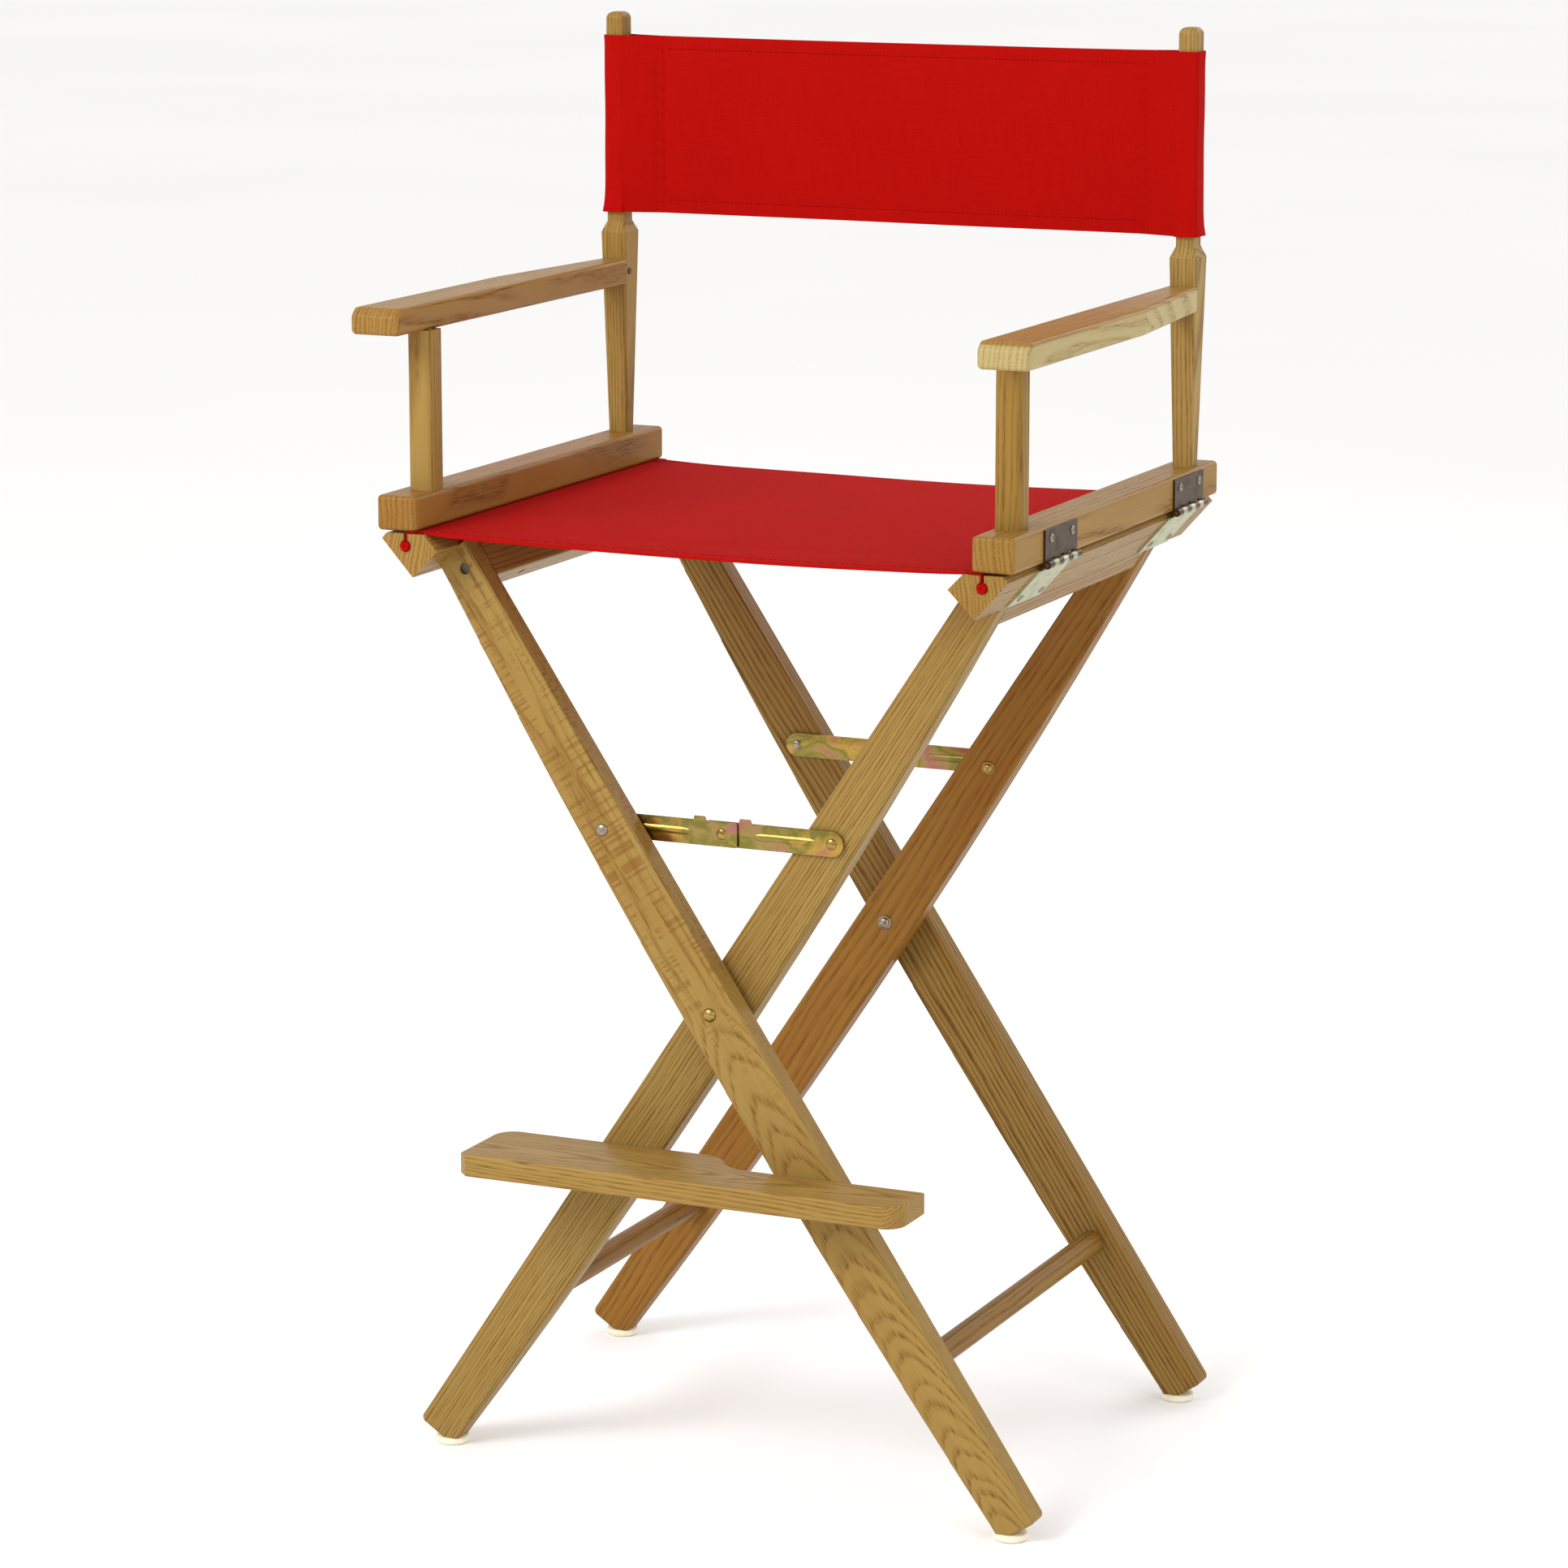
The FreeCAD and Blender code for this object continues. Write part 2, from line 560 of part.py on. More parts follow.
parts["brace_rivet_front"] = turned("brace_rivet_front", dome(4.5, 1.2, d("screw_r"), link),
                                    V(0, near, brace_z), Y)
parts["brace_rivet_rear"] = turned("brace_rivet_rear", dome(4.5, 1.2, d("screw_r"), link),
                                   V(0, far + link, brace_z), V(0, -1, 0))

# ---------------------------------------------------------------- footrest
rest_back_outer = y_a - 0.35
rest_back_inner = y_b - 0.35
board_body = new_body("footrest_plank")
rest_sketch = new_sketch(board_body, "XY_Plane", "footrest_outline")
rest_left, rest_right, rest_front = d("rest_left_x"), d("rest_right_x"), d("rest_front_y")
step_drop = rest_back_inner - rest_back_outer
step_mid = (6.5, rest_back_outer + step_drop / 2)
rest_front_line = [(rest_left + 7.0, rest_front), (rest_right - 17.0, rest_front)]
rest_rear_line = [(-18.0, rest_back_inner), (rest_left + 17.0, rest_back_inner)]


def flat(point):
    return V(point[0], point[1], 0)


def corner_arc(sketch, centre, radius, first, last):
    """An arc from one angle to another, in degrees, round a centre."""
    spots = [math.radians(a) for a in (first, (first + last) / 2, last)]
    a, b, c = [V(centre[0] + radius * math.cos(t), centre[1] + radius * math.sin(t), 0) for t in spots]
    sketch.addGeometry(Part.Arc(a, b, c), False)


def s_arc(sketch, low, high, sign):
    """Half of an S: tangent to the plank's back edge at its outer end."""
    run, rise = abs(high[0] - low[0]), abs(high[1] - low[1])
    radius = (run * run + rise * rise) / (2 * rise)
    half = math.degrees(math.atan2(run, radius - rise)) / 2
    t = math.radians(half)
    end = low if sign > 0 else high
    mid = (end[0] - sign * radius * math.sin(t), end[1] + sign * radius * (1 - math.cos(t)))
    first, last = (low, high) if sign > 0 else (high, low)
    sketch.addGeometry(Part.Arc(flat(first), flat(mid), flat(last)), False)


rest_step_low = (31.0, rest_back_outer)
rest_step_high = (-18.0, rest_back_inner)
corner = 17.0
rest_sketch.addGeometry(Part.LineSegment(flat(rest_front_line[0]), flat(rest_front_line[1])), False)
corner_arc(rest_sketch, (rest_right - corner, rest_front + corner), corner, -90, 0)
rest_sketch.addGeometry(Part.LineSegment(V(rest_right, rest_front + corner, 0),
                                         V(rest_right, rest_back_outer, 0)), False)
rest_sketch.addGeometry(Part.LineSegment(V(rest_right, rest_back_outer, 0), flat(rest_step_low)), False)
s_arc(rest_sketch, rest_step_low, step_mid, 1)
s_arc(rest_sketch, step_mid, rest_step_high, -1)
rest_sketch.addGeometry(Part.LineSegment(flat(rest_rear_line[0]), flat(rest_rear_line[1])), False)
corner_arc(rest_sketch, (rest_left + corner, rest_back_inner - corner), corner, 90, 180)
rest_sketch.addGeometry(Part.LineSegment(V(rest_left, rest_back_inner - corner, 0),
                                         V(rest_left, rest_front + 7.0, 0)), False)
rest_sketch.addGeometry(Part.LineSegment(V(rest_left, rest_front + 7.0, 0),
                                         flat(rest_front_line[0])), False)
pad(board_body, rest_sketch, "rest_thick")
fillet(board_body, 1.8, lambda e: not along(e, Z))
board_body.Placement = FreeCAD.Placement(V(0, 0, rest_bolt_z), FreeCAD.Rotation())
parts["footrest_board"] = cut("footrest_board", board_body, [
    rod("footrest_bore", 4.0 + d("wood_fit"), V(rest_at[0], rest_back_outer + 1.0, rest_at[1]),
        V(0, -1, 0), 30.0)])
parts["footrest_bolt"] = turned("footrest_bolt", dome(7.0, 2.6, 4.0, thick + 27.0),
                                V(rest_at[0], y_a + thick + 0.1, rest_at[1]), V(0, -1, 0))
parts["footrest_peg"] = rod("footrest_peg", peg_r, V(-peg_at[0], y_b - 58.0, peg_at[1]), Y, 58.0 + 18.0)

# ---------------------------------------------------------------- arm frames
arm_top = d("arm_rail_z") + d("arm_rail_height")
tenon = d("tenon_r")
deep = d("tenon_long")


def rounded(sketch, wide, long, r):
    """A rectangle with round corners about the sketch's origin."""
    a, b = wide / 2, long / 2
    corner = r * (1 - math.sqrt(0.5))
    for sx, sy in ((1, 1), (-1, 1), (-1, -1), (1, -1)):
        first = V(sx * a, sy * (b - r), 0)
        mid = V(sx * (a - corner), sy * (b - corner), 0)
        last = V(sx * (a - r), sy * b, 0)
        if sx * sy < 0:
            first, last = last, first
        sketch.addGeometry(Part.Arc(first, mid, last), False)
    sketch.addGeometry(Part.LineSegment(V(a - r, b, 0), V(-a + r, b, 0)), False)
    sketch.addGeometry(Part.LineSegment(V(-a, b - r, 0), V(-a, -b + r, 0)), False)
    sketch.addGeometry(Part.LineSegment(V(-a + r, -b, 0), V(a - r, -b, 0)), False)
    sketch.addGeometry(Part.LineSegment(V(a, -b + r, 0), V(a, b - r, 0)), False)


def section(body, name, z, wide, long, r):
    sketch = new_sketch(body, "XY_Plane", name)
    sketch.AttachmentOffset = FreeCAD.Placement(V(0, 0, z), FreeCAD.Rotation())
    rounded(sketch, wide, long, r)
    return sketch


def loft(body, name, sections):
    feature = body.newObject("PartDesign::AdditiveLoft", name)
    feature.Profile = sections[0]
    feature.Sections = sections[1:]
    feature.Ruled = True
    return feature


for hand, side in (("left", -1), ("right", 1)):
    # rail that carries both posts
    bar = board("arm_rail_%s_bar" % hand,
                [(side * d("arm_rail_in_x"), "arm_rail_z"),
                 (side * (d("arm_rail_in_x") + d("arm_rail_width")), "arm_rail_z"),
                 (side * (d("arm_rail_in_x") + d("arm_rail_width")), arm_top),
                 (side * d("arm_rail_in_x"), arm_top)], "rail_length", 0.0)
    fillet(bar, "arm_rail_round", lambda e: True)
    parts["arm_rail_" + hand] = cut("arm_rail_" + hand, bar, [
        rod("arm_rail_%s_front_mortise" % hand, tenon + d("wood_fit"),
            V(side * d("post_x"), d("post_y"), arm_top - deep - 0.3), Z, deep + 1.0),
        rod("arm_rail_%s_back_mortise" % hand, tenon + d("wood_fit"),
            V(side * d("back_x"), d("back_y"), arm_top - deep - 0.3), Z, deep + 1.0)])

    # front post with a round tenon at each end
    post = new_body("front_post_" + hand)
    shaft = section(post, "front_post_%s_section" % hand, (arm_top + d("arm_z")) / 2,
                    d("post_size"), d("post_size"), d("post_round"))
    pad(post, shaft, d("arm_z") - arm_top)
    peg = new_sketch(post, "XY_Plane", "front_post_%s_tenon" % hand)
    peg.AttachmentOffset = FreeCAD.Placement(V(0, 0, (arm_top + d("arm_z")) / 2), FreeCAD.Rotation())
    peg.addGeometry(Part.Circle(V(0, 0, 0), Z, tenon), False)
    pad(post, peg, d("arm_z") - arm_top + 2 * deep)
    post.Placement = FreeCAD.Placement(V(side * d("post_x"), d("post_y"), 0), FreeCAD.Rotation())
    parts["front_post_" + hand] = post

    # back post: tapered foot, shoulder, and the neck that the canvas slips over
    back = new_body("back_post_%s_shaft" % hand)
    foot = section(back, "back_%s_foot" % hand, arm_top, d("foot_wide"), d("foot_deep"), 3.0)
    shoulder = section(back, "back_%s_shoulder" % hand, d("shoulder_z"), d("shoulder_wide"),
                       d("shoulder_deep"), 3.0)
    loft(back, "back_%s_lower" % hand, [foot, shoulder])
    shoulder2 = section(back, "back_%s_shoulder_top" % hand, d("shoulder_z"), d("shoulder_wide"),
                        d("shoulder_deep"), 3.0)
    neck = section(back, "back_%s_neck" % hand, d("neck_z"), d("neck_wide"), d("neck_deep"), 3.0)
    loft(back, "back_%s_chamfer" % hand, [shoulder2, neck])
    tall = section(back, "back_%s_tall" % hand, (d("neck_z") + d("post_top_z")) / 2,
                   d("neck_wide"), d("neck_deep"), 3.0)
    pad(back, tall, d("post_top_z") - d("neck_z"))
    fillet(back, 5.5, lambda e: abs(e.BoundBox.ZMin - d("post_top_z")) < 0.01)
    back.Placement = FreeCAD.Placement(V(side * d("back_x"), d("back_y"), 0), FreeCAD.Rotation())
    stub = rod("back_post_%s_tenon" % hand, "tenon_r",
               V(side * d("back_x"), d("back_y"), arm_top - deep), Z, deep + 5.0)
    whole = joined("back_post_%s_whole" % hand, [back, stub])
    pin_z = d("arm_z") + d("arm_thick") / 2
    inner_x = side * (d("back_x") - 14.0)
    parts["back_post_" + hand] = cut("back_post_" + hand, whole, [
        rod("back_post_%s_arm_mortise" % hand, 5.0 + d("wood_fit"),
            V(side * d("back_x"), d("arm_rear_y") - 2.0, pin_z), Y, 17.3),
        rod("back_post_%s_pin_hole" % hand, 2.5 + d("wood_fit"),
            V(inner_x, d("back_y") - 5.0, pin_z), V(side, 0, 0), 20.0)])

    # armrest: straight inside, tapered outside behind the bend, bullnosed in front
    arm = new_body("armrest_%s_plank" % hand)
    plan = new_sketch(arm, "XY_Plane", "armrest_%s_plan" % hand)
    sign = "" if side > 0 else "-"
    outline(plan, [(sign + "arm_in_x", "arm_front_y"), (sign + "arm_out_x", "arm_front_y"),
                   (sign + "arm_out_x", "arm_bend_y"), (sign + "arm_end_x", "arm_rear_y"),
                   (sign + "arm_in_x", "arm_rear_y")])
    pad(arm, plan, "arm_thick")
    bevel(arm, 6.0, lambda e: along(e, X) and abs(ends(e)[0].y - d("arm_front_y")) < 0.01
          and ends(e)[0].z > 0)
    fillet(arm, 4.0, lambda e: min(p.y for p in ends(e)) < d("arm_rear_y") - 1.0
           and not (along(e, Z) and abs(ends(e)[0].y - d("arm_bend_y")) < 0.01))
    arm.Placement = FreeCAD.Placement(V(0, 0, d("arm_z") + d("arm_thick") / 2), FreeCAD.Rotation())
    arm_tenon = rod("armrest_%s_tenon" % hand, 5.0,
                    V(side * d("back_x"), d("arm_rear_y") - 3.0, pin_z), Y, 18.0)
    arm_whole = joined("armrest_%s_whole" % hand, [arm, arm_tenon])
    parts["armrest_" + hand] = cut("armrest_" + hand, arm_whole, [
        rod("armrest_%s_mortise" % hand, tenon + d("wood_fit"),
            V(side * d("post_x"), d("post_y"), d("arm_z") - 1.0), Z, deep + 1.3),
        rod("armrest_%s_pin_hole" % hand, 2.5 + d("wood_fit"),
            V(inner_x, d("back_y") - 5.0, pin_z), V(side, 0, 0), 20.0)])
    parts["arm_pin_" + hand] = rod("arm_pin_" + hand, 2.5,
                                   V(side * (d("back_x") - 12.0), d("back_y") - 5.0, pin_z),
                                   V(side, 0, 0), 17.5)

# ---------------------------------------------------------------- hinges
hx, hz = d("hinge_x"), d("hinge_z")
barrel = d("barrel_r")
plate = d("leaf_thick")
side_x = d("arm_rail_in_x") + d("arm_rail_width")
face = (d("rail_out_x") - d("rail_bottom_x"), d("rail_out_z") - d("rail_bottom_z"))
face_long = math.hypot(face[0], face[1])
up = (face[0] / face_long, face[1] / face_long)
out = (up[1], -up[0])
knuckles = 7
knuckle = d("leaf_length") / knuckles


def down_face(k, t):
    """A point k up the rail's outer lower face from its upper corner, t outside the face."""
    return (d("rail_out_x") + k * up[0] + t * out[0], d("rail_out_z") + k * up[1] + t * out[1])


def leaf(name, side, plate_points, arm_points, y0, mine):
    """A hinge leaf: its plate, and its own knuckles with the arms that join them to it."""
    length = d("leaf_length")
    pieces = [board(name + "_plate", [(side * x, z) for x, z in plate_points], length, y0 + length / 2)]
    for k in mine:
        mid = y0 + (k + 0.5) * knuckle
        width = knuckle - 0.3
        pieces.append(board("%s_arm_%d" % (name, k), [(side * x, z) for x, z in arm_points], width, mid))
        pieces.append(rod("%s_knuckle_%d" % (name, k), "barrel_r", V(side * hx, mid - width / 2, hz),
                          Y, width))
    whole = joined(name + "_whole", pieces)
    bore = rod(name + "_bore", d("hinge_pin_r") + d("wood_fit"), V(side * hx, y0 - 1.0, hz), Y,
               length + 2.0)
    return cut(name, whole, [bore])


upper_plate = [(side_x + 0.05, 766.6), (side_x + plate, 766.6), (side_x + plate, d("leaf_top_z")),
               (side_x + 0.05, d("leaf_top_z"))]
upper_arm = [(side_x + 0.25, hz), (side_x + plate, hz), (side_x + plate, 767.0),
             (side_x + 0.25, 767.0)]
lower_plate = [down_face(-38.0, 0.05), down_face(-38.0, plate), down_face(1.5, plate),
               down_face(1.5, 0.05)]
lower_arm = [down_face(1.0, 0.05), down_face(1.0, plate), down_face(8.9, plate),
             down_face(8.9, 0.05)]


def screw(name, x, y, z, direction):
    return turned(name, dome(3.4, 1.3, 1.75, 12.0), V(x, y, z), direction)


for hand, side in (("left", -1), ("right", 1)):
    upper, lower, pins, upper_screws, lower_screws = [], [], [], [], []
    for place in ("front", "rear"):
        y0 = d("hinge_%s_y" % place)
        tag = "%s_%s" % (hand, place)
        upper_leaf = leaf("hinge_upper_" + tag, side, upper_plate, upper_arm, y0, (0, 2, 4, 6))
        lower_leaf = leaf("hinge_lower_" + tag, side, lower_plate, lower_arm, y0, (1, 3, 5))
        holes = []
        deeper = []
        for k, dy in enumerate((13.0, 56.0)):
            base = V(side * (side_x + plate + 0.05), y0 + dy, 781.5)
            into = V(-side, 0, 0)
            upper_screws.append(screw("screw_upper_%s_%d" % (tag, k), base.x, base.y, base.z, into))
            holes.append(rod("hole_upper_%s_%d" % (tag, k), 1.8, base, into, 13.0))
            foot_x, foot_z = down_face(-30.0, plate + 0.05)
            low = V(side * foot_x, y0 + dy, foot_z)
            inward = V(-side * out[0], 0, -out[1])
            lower_screws.append(screw("screw_lower_%s_%d" % (tag, k), low.x, low.y, low.z, inward))
            deeper.append(rod("hole_lower_%s_%d" % (tag, k), 1.8, low, inward, 13.0))
        upper.append(cut("leaf_upper_" + tag, upper_leaf, holes))
        lower.append(cut("leaf_lower_" + tag, lower_leaf, deeper))
        parts["arm_rail_" + hand] = cut("arm_rail_%s_%s" % (hand, place), parts["arm_rail_" + hand],
                                        [doc.copyObject(h) for h in holes])
        parts["seat_rail_" + hand] = cut("seat_rail_%s_%s" % (hand, place), parts["seat_rail_" + hand],
                                         [doc.copyObject(h) for h in deeper])
        pins.append(rod("pin_" + tag, "hinge_pin_r", V(side * hx, y0 - 0.4, hz), Y,
                        d("leaf_length") + 0.8))
    parts["hinge_upper_leaves_" + hand] = group("hinge_upper_leaves_" + hand, upper)
    parts["hinge_lower_leaves_" + hand] = group("hinge_lower_leaves_" + hand, lower)
    parts["hinge_pins_" + hand] = group("hinge_pins_" + hand, pins)
    parts["hinge_upper_screws_" + hand] = group("hinge_upper_screws_" + hand, upper_screws)
    parts["hinge_lower_screws_" + hand] = group("hinge_lower_screws_" + hand, lower_screws)

# ---------------------------------------------------------------- canvas
cloth = d("cloth_thick")
seat_mid_y = (d("seat_front_y") + d("seat_rear_y")) / 2
seat_deep = d("seat_rear_y") - d("seat_front_y")
seat_low = d("seat_z")
slot_x, slot_z = d("slot_x"), d("slot_z")
for hand, side in (("left", -1), ("right", 1)):
    # hem: a loop round the rod in the groove, the neck through the slit, the strip over the rail
    loop = rod("seat_hem_%s_loop" % hand, d("rod_r") + 1.3, V(side * slot_x, d("seat_front_y"), slot_z),
               Y, seat_deep)
    neck = board("seat_hem_%s_neck" % hand,
                 [(side * (slot_x - 0.6), slot_z), (side * (slot_x + 0.6), slot_z),
                  (side * (slot_x + 0.6), seat_low + cloth * 0.8),
                  (side * d("panel_edge_x") + side * 0.5, seat_low + cloth * 0.8),
                  (side * d("panel_edge_x") + side * 0.5, seat_low), (side * (slot_x - 0.6), seat_low)],
                 seat_deep, seat_mid_y)
    hem = joined("seat_hem_%s_whole" % hand, [loop, neck])
    parts["seat_hem_" + hand] = cut("seat_hem_" + hand, hem, [
        rod("seat_hem_%s_bore" % hand, d("rod_r") + 0.1,
            V(side * slot_x, d("seat_front_y") - 1.0, slot_z), Y, seat_deep + 2.0)])
    parts["seat_rod_" + hand] = rod("seat_rod_" + hand, "rod_r",
                                    V(side * slot_x, d("seat_front_y") + 3.0, slot_z), Y,
                                    seat_deep - 6.0)
    # half of the seat canvas, from the rail to the middle
    low = seat_low - d("seat_sag")
    parts["seat_canvas_" + hand] = board(
        "seat_canvas_" + hand,
        [(side * d("panel_edge_x"), seat_low), (side * d("panel_edge_x"), seat_low + cloth),
         (side * 110.0, low + 1.0 + cloth), (side * 0.2, low + cloth), (side * 0.2, low),
         (side * 110.0, low + 1.0)], seat_deep, seat_mid_y)

    # half of the back canvas: the round sleeve that turns on the post's neck, and the panel
    by = d("back_y")
    inner_r, outer_r = d("sleeve_r"), d("sleeve_r") + cloth + 0.4
    tall = d("back_high_z") - d("back_low_z")
    sleeve = rod("back_canvas_%s_sleeve" % hand, outer_r, V(side * d("back_x"), by, d("back_low_z")), Z, tall)
    panel = board("back_canvas_%s_panel" % hand,
                  [(side * 0.2, by - 1.0), (side * d("sleeve_in_x"), by - 1.0),
                   (side * 247.0, by - outer_r + 1.2), (side * 247.0, by + outer_r - 1.2),
                   (side * d("sleeve_in_x"), by + 1.0), (side * 0.2, by + 1.0)],
                  tall, 0.0, role="XY_Plane", at=V(0, 0, d("back_low_z") + tall / 2))
    whole = joined("back_canvas_%s_whole" % hand, [sleeve, panel])
    sleeve = cut("back_canvas_" + hand, whole, [
        rod("back_canvas_%s_bore" % hand, inner_r, V(side * d("back_x"), by, d("back_low_z") - 1.0), Z,
            tall + 2.0)])
    parts["back_canvas_" + hand] = sleeve

doc.recompute()

# ---------------------------------------------------------------- check and write
bad = [o.Name for o in doc.Objects if "Invalid" in o.State or "Error" in o.State]
if bad:
    raise RuntimeError("features in error: " + ", ".join(bad))
os.makedirs("parts", exist_ok=True)
for node, part in parts.items():
    part.Label = node
    shape = part.Shape
    if shape.isNull() or not shape.isValid() or shape.Volume <= 0:
        raise RuntimeError("bad shape: " + node)
for node, part in parts.items():
    part.Shape.exportStep("parts/%s.step" % node)
print("%d nodes written" % len(parts))
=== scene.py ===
import json
import math
import bpy
import bmesh
import numpy as np
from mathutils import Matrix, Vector


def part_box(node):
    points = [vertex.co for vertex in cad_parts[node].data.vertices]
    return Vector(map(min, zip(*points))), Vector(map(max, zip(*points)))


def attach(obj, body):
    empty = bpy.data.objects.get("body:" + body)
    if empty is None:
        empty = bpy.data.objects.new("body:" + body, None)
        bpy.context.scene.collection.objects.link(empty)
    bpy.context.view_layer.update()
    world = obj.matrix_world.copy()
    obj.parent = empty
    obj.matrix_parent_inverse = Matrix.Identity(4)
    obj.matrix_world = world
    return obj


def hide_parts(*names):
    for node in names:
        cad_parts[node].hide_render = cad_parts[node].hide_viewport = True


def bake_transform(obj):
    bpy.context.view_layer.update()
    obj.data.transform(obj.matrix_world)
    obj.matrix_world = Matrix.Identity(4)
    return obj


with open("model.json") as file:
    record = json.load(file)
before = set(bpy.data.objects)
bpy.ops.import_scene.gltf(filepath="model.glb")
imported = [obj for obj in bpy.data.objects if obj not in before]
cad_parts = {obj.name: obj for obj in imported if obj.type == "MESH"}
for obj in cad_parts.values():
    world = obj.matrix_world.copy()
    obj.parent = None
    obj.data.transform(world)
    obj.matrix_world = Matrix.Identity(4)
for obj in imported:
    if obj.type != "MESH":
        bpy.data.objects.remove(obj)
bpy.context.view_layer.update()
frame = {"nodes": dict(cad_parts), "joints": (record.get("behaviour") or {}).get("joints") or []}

MM = 0.001
Y, Z = Vector((0, 1, 0)), Vector((0, 0, 1))
joints = {j["name"]: j for j in frame["joints"]}


# ------------------------------------------------------------------ node helpers
def srgb(r, g, b):
    """An 8-bit screen colour as the linear colour a shader takes."""
    def one(c):
        c /= 255.0
        return c / 12.92 if c <= 0.04045 else ((c + 0.055) / 1.055) ** 2.4
    return (one(r), one(g), one(b), 1.0)


class Tree:
    """A material and short ways to add nodes to it."""

    def __init__(self, name):
        self.material = bpy.data.materials.new(name)
        self.material.use_nodes = True
        self.nodes = self.material.node_tree.nodes
        self.links = self.material.node_tree.links
        self.nodes.clear()
        self.shader = self.nodes.new("ShaderNodeBsdfPrincipled")
        out = self.nodes.new("ShaderNodeOutputMaterial")
        self.links.new(self.shader.outputs[0], out.inputs["Surface"])

    def feed(self, socket, value):
        if isinstance(value, bpy.types.NodeSocket):
            self.links.new(value, socket)
        elif value is not None:
            socket.default_value = value

    def set(self, **values):
        for name, value in values.items():
            self.feed(self.shader.inputs[name.replace("_", " ")], value)

    def math(self, operation, a, b=None, c=None, clamp=False):
        n = self.nodes.new("ShaderNodeMath")
        n.operation = operation
        n.use_clamp = clamp
        for socket, value in zip(n.inputs, (a, b, c)):
            self.feed(socket, value)
        return n.outputs[0]

    def vector(self, operation, a, b=None, scale=None):
        n = self.nodes.new("ShaderNodeVectorMath")
        n.operation = operation
        self.feed(n.inputs[0], a)
        self.feed(n.inputs[1], b)
        if scale is not None:
            self.feed(n.inputs["Scale"], scale)
        return n.outputs["Value"] if operation in ("LENGTH", "DOT_PRODUCT") else n.outputs["Vector"]

    def coords(self, kind="Object"):
        return self.nodes.new("ShaderNodeTexCoord").outputs[kind]

    def mapping(self, vector, rotation=(0, 0, 0), location=(0, 0, 0), scale=(1, 1, 1)):
        n = self.nodes.new("ShaderNodeMapping")
        self.feed(n.inputs["Vector"], vector)
        n.inputs["Rotation"].default_value = rotation
        n.inputs["Location"].default_value = location
        n.inputs["Scale"].default_value = scale
        return n.outputs[0]

    def noise(self, vector, scale=1.0, detail=2.0, rough=0.5, distortion=0.0, colour=False):
        n = self.nodes.new("ShaderNodeTexNoise")
        self.feed(n.inputs["Vector"], vector)
        n.inputs["Scale"].default_value = scale
        n.inputs["Detail"].default_value = detail
        n.inputs["Roughness"].default_value = rough
        n.inputs["Distortion"].default_value = distortion
        return n.outputs["Color"] if colour else n.outputs["Fac"]

    def ramp(self, value, *stops):
        n = self.nodes.new("ShaderNodeValToRGB")
        self.feed(n.inputs[0], value)
        elements = n.color_ramp.elements
        while len(elements) < len(stops):
            elements.new(0.5)
        for element, (at, colour) in zip(elements, stops):
            element.position = at
            element.color = colour if hasattr(colour, "__len__") else (colour, colour, colour, 1)
        return n.outputs["Color"]

    def mix(self, factor, a, b, blend="MIX"):
        n = self.nodes.new("ShaderNodeMix")
        n.data_type = "RGBA"
        n.blend_type = blend
        self.feed(n.inputs[0], factor)
        self.feed(n.inputs[6], a)
        self.feed(n.inputs[7], b)
        return n.outputs[2]

    def range(self, value, from_low, from_high, to_low, to_high):
        n = self.nodes.new("ShaderNodeMapRange")
        self.feed(n.inputs[0], value)
        for socket, number in zip(n.inputs[1:5], (from_low, from_high, to_low, to_high)):
            socket.default_value = number
        return n.outputs[0]

    def split(self, vector):
        n = self.nodes.new("ShaderNodeSeparateXYZ")
        self.feed(n.inputs[0], vector)
        return n.outputs

    def join(self, x, y, z):
        n = self.nodes.new("ShaderNodeCombineXYZ")
        for socket, value in zip(n.inputs, (x, y, z)):
            self.feed(socket, value)
        return n.outputs[0]

    def bump(self, height, distance, strength=1.0):
        n = self.nodes.new("ShaderNodeBump")
        self.feed(n.inputs["Height"], height)
        n.inputs["Distance"].default_value = distance
        n.inputs["Strength"].default_value = strength
        self.links.new(n.outputs[0], self.shader.inputs["Normal"])


# ------------------------------------------------------------------ materials
LEG_ANGLE = math.radians(56.5)
GRAIN = {
    "x": (0, 0, 0),
    "y": (0, 0, -math.pi / 2),
    "z": (0, math.pi / 2, 0),
    "outer": (0, -LEG_ANGLE, 0),
    "inner": (0, LEG_ANGLE, 0),
}


WOOD_TONE = (0.46, 0.415, 0.26)


def ash(tone):
    """A board's tone as it is under the lacquer."""
    c = srgb(*tone)
    return (c[0] * WOOD_TONE[0], c[1] * WOOD_TONE[1], c[2] * WOOD_TONE[2], 1.0)


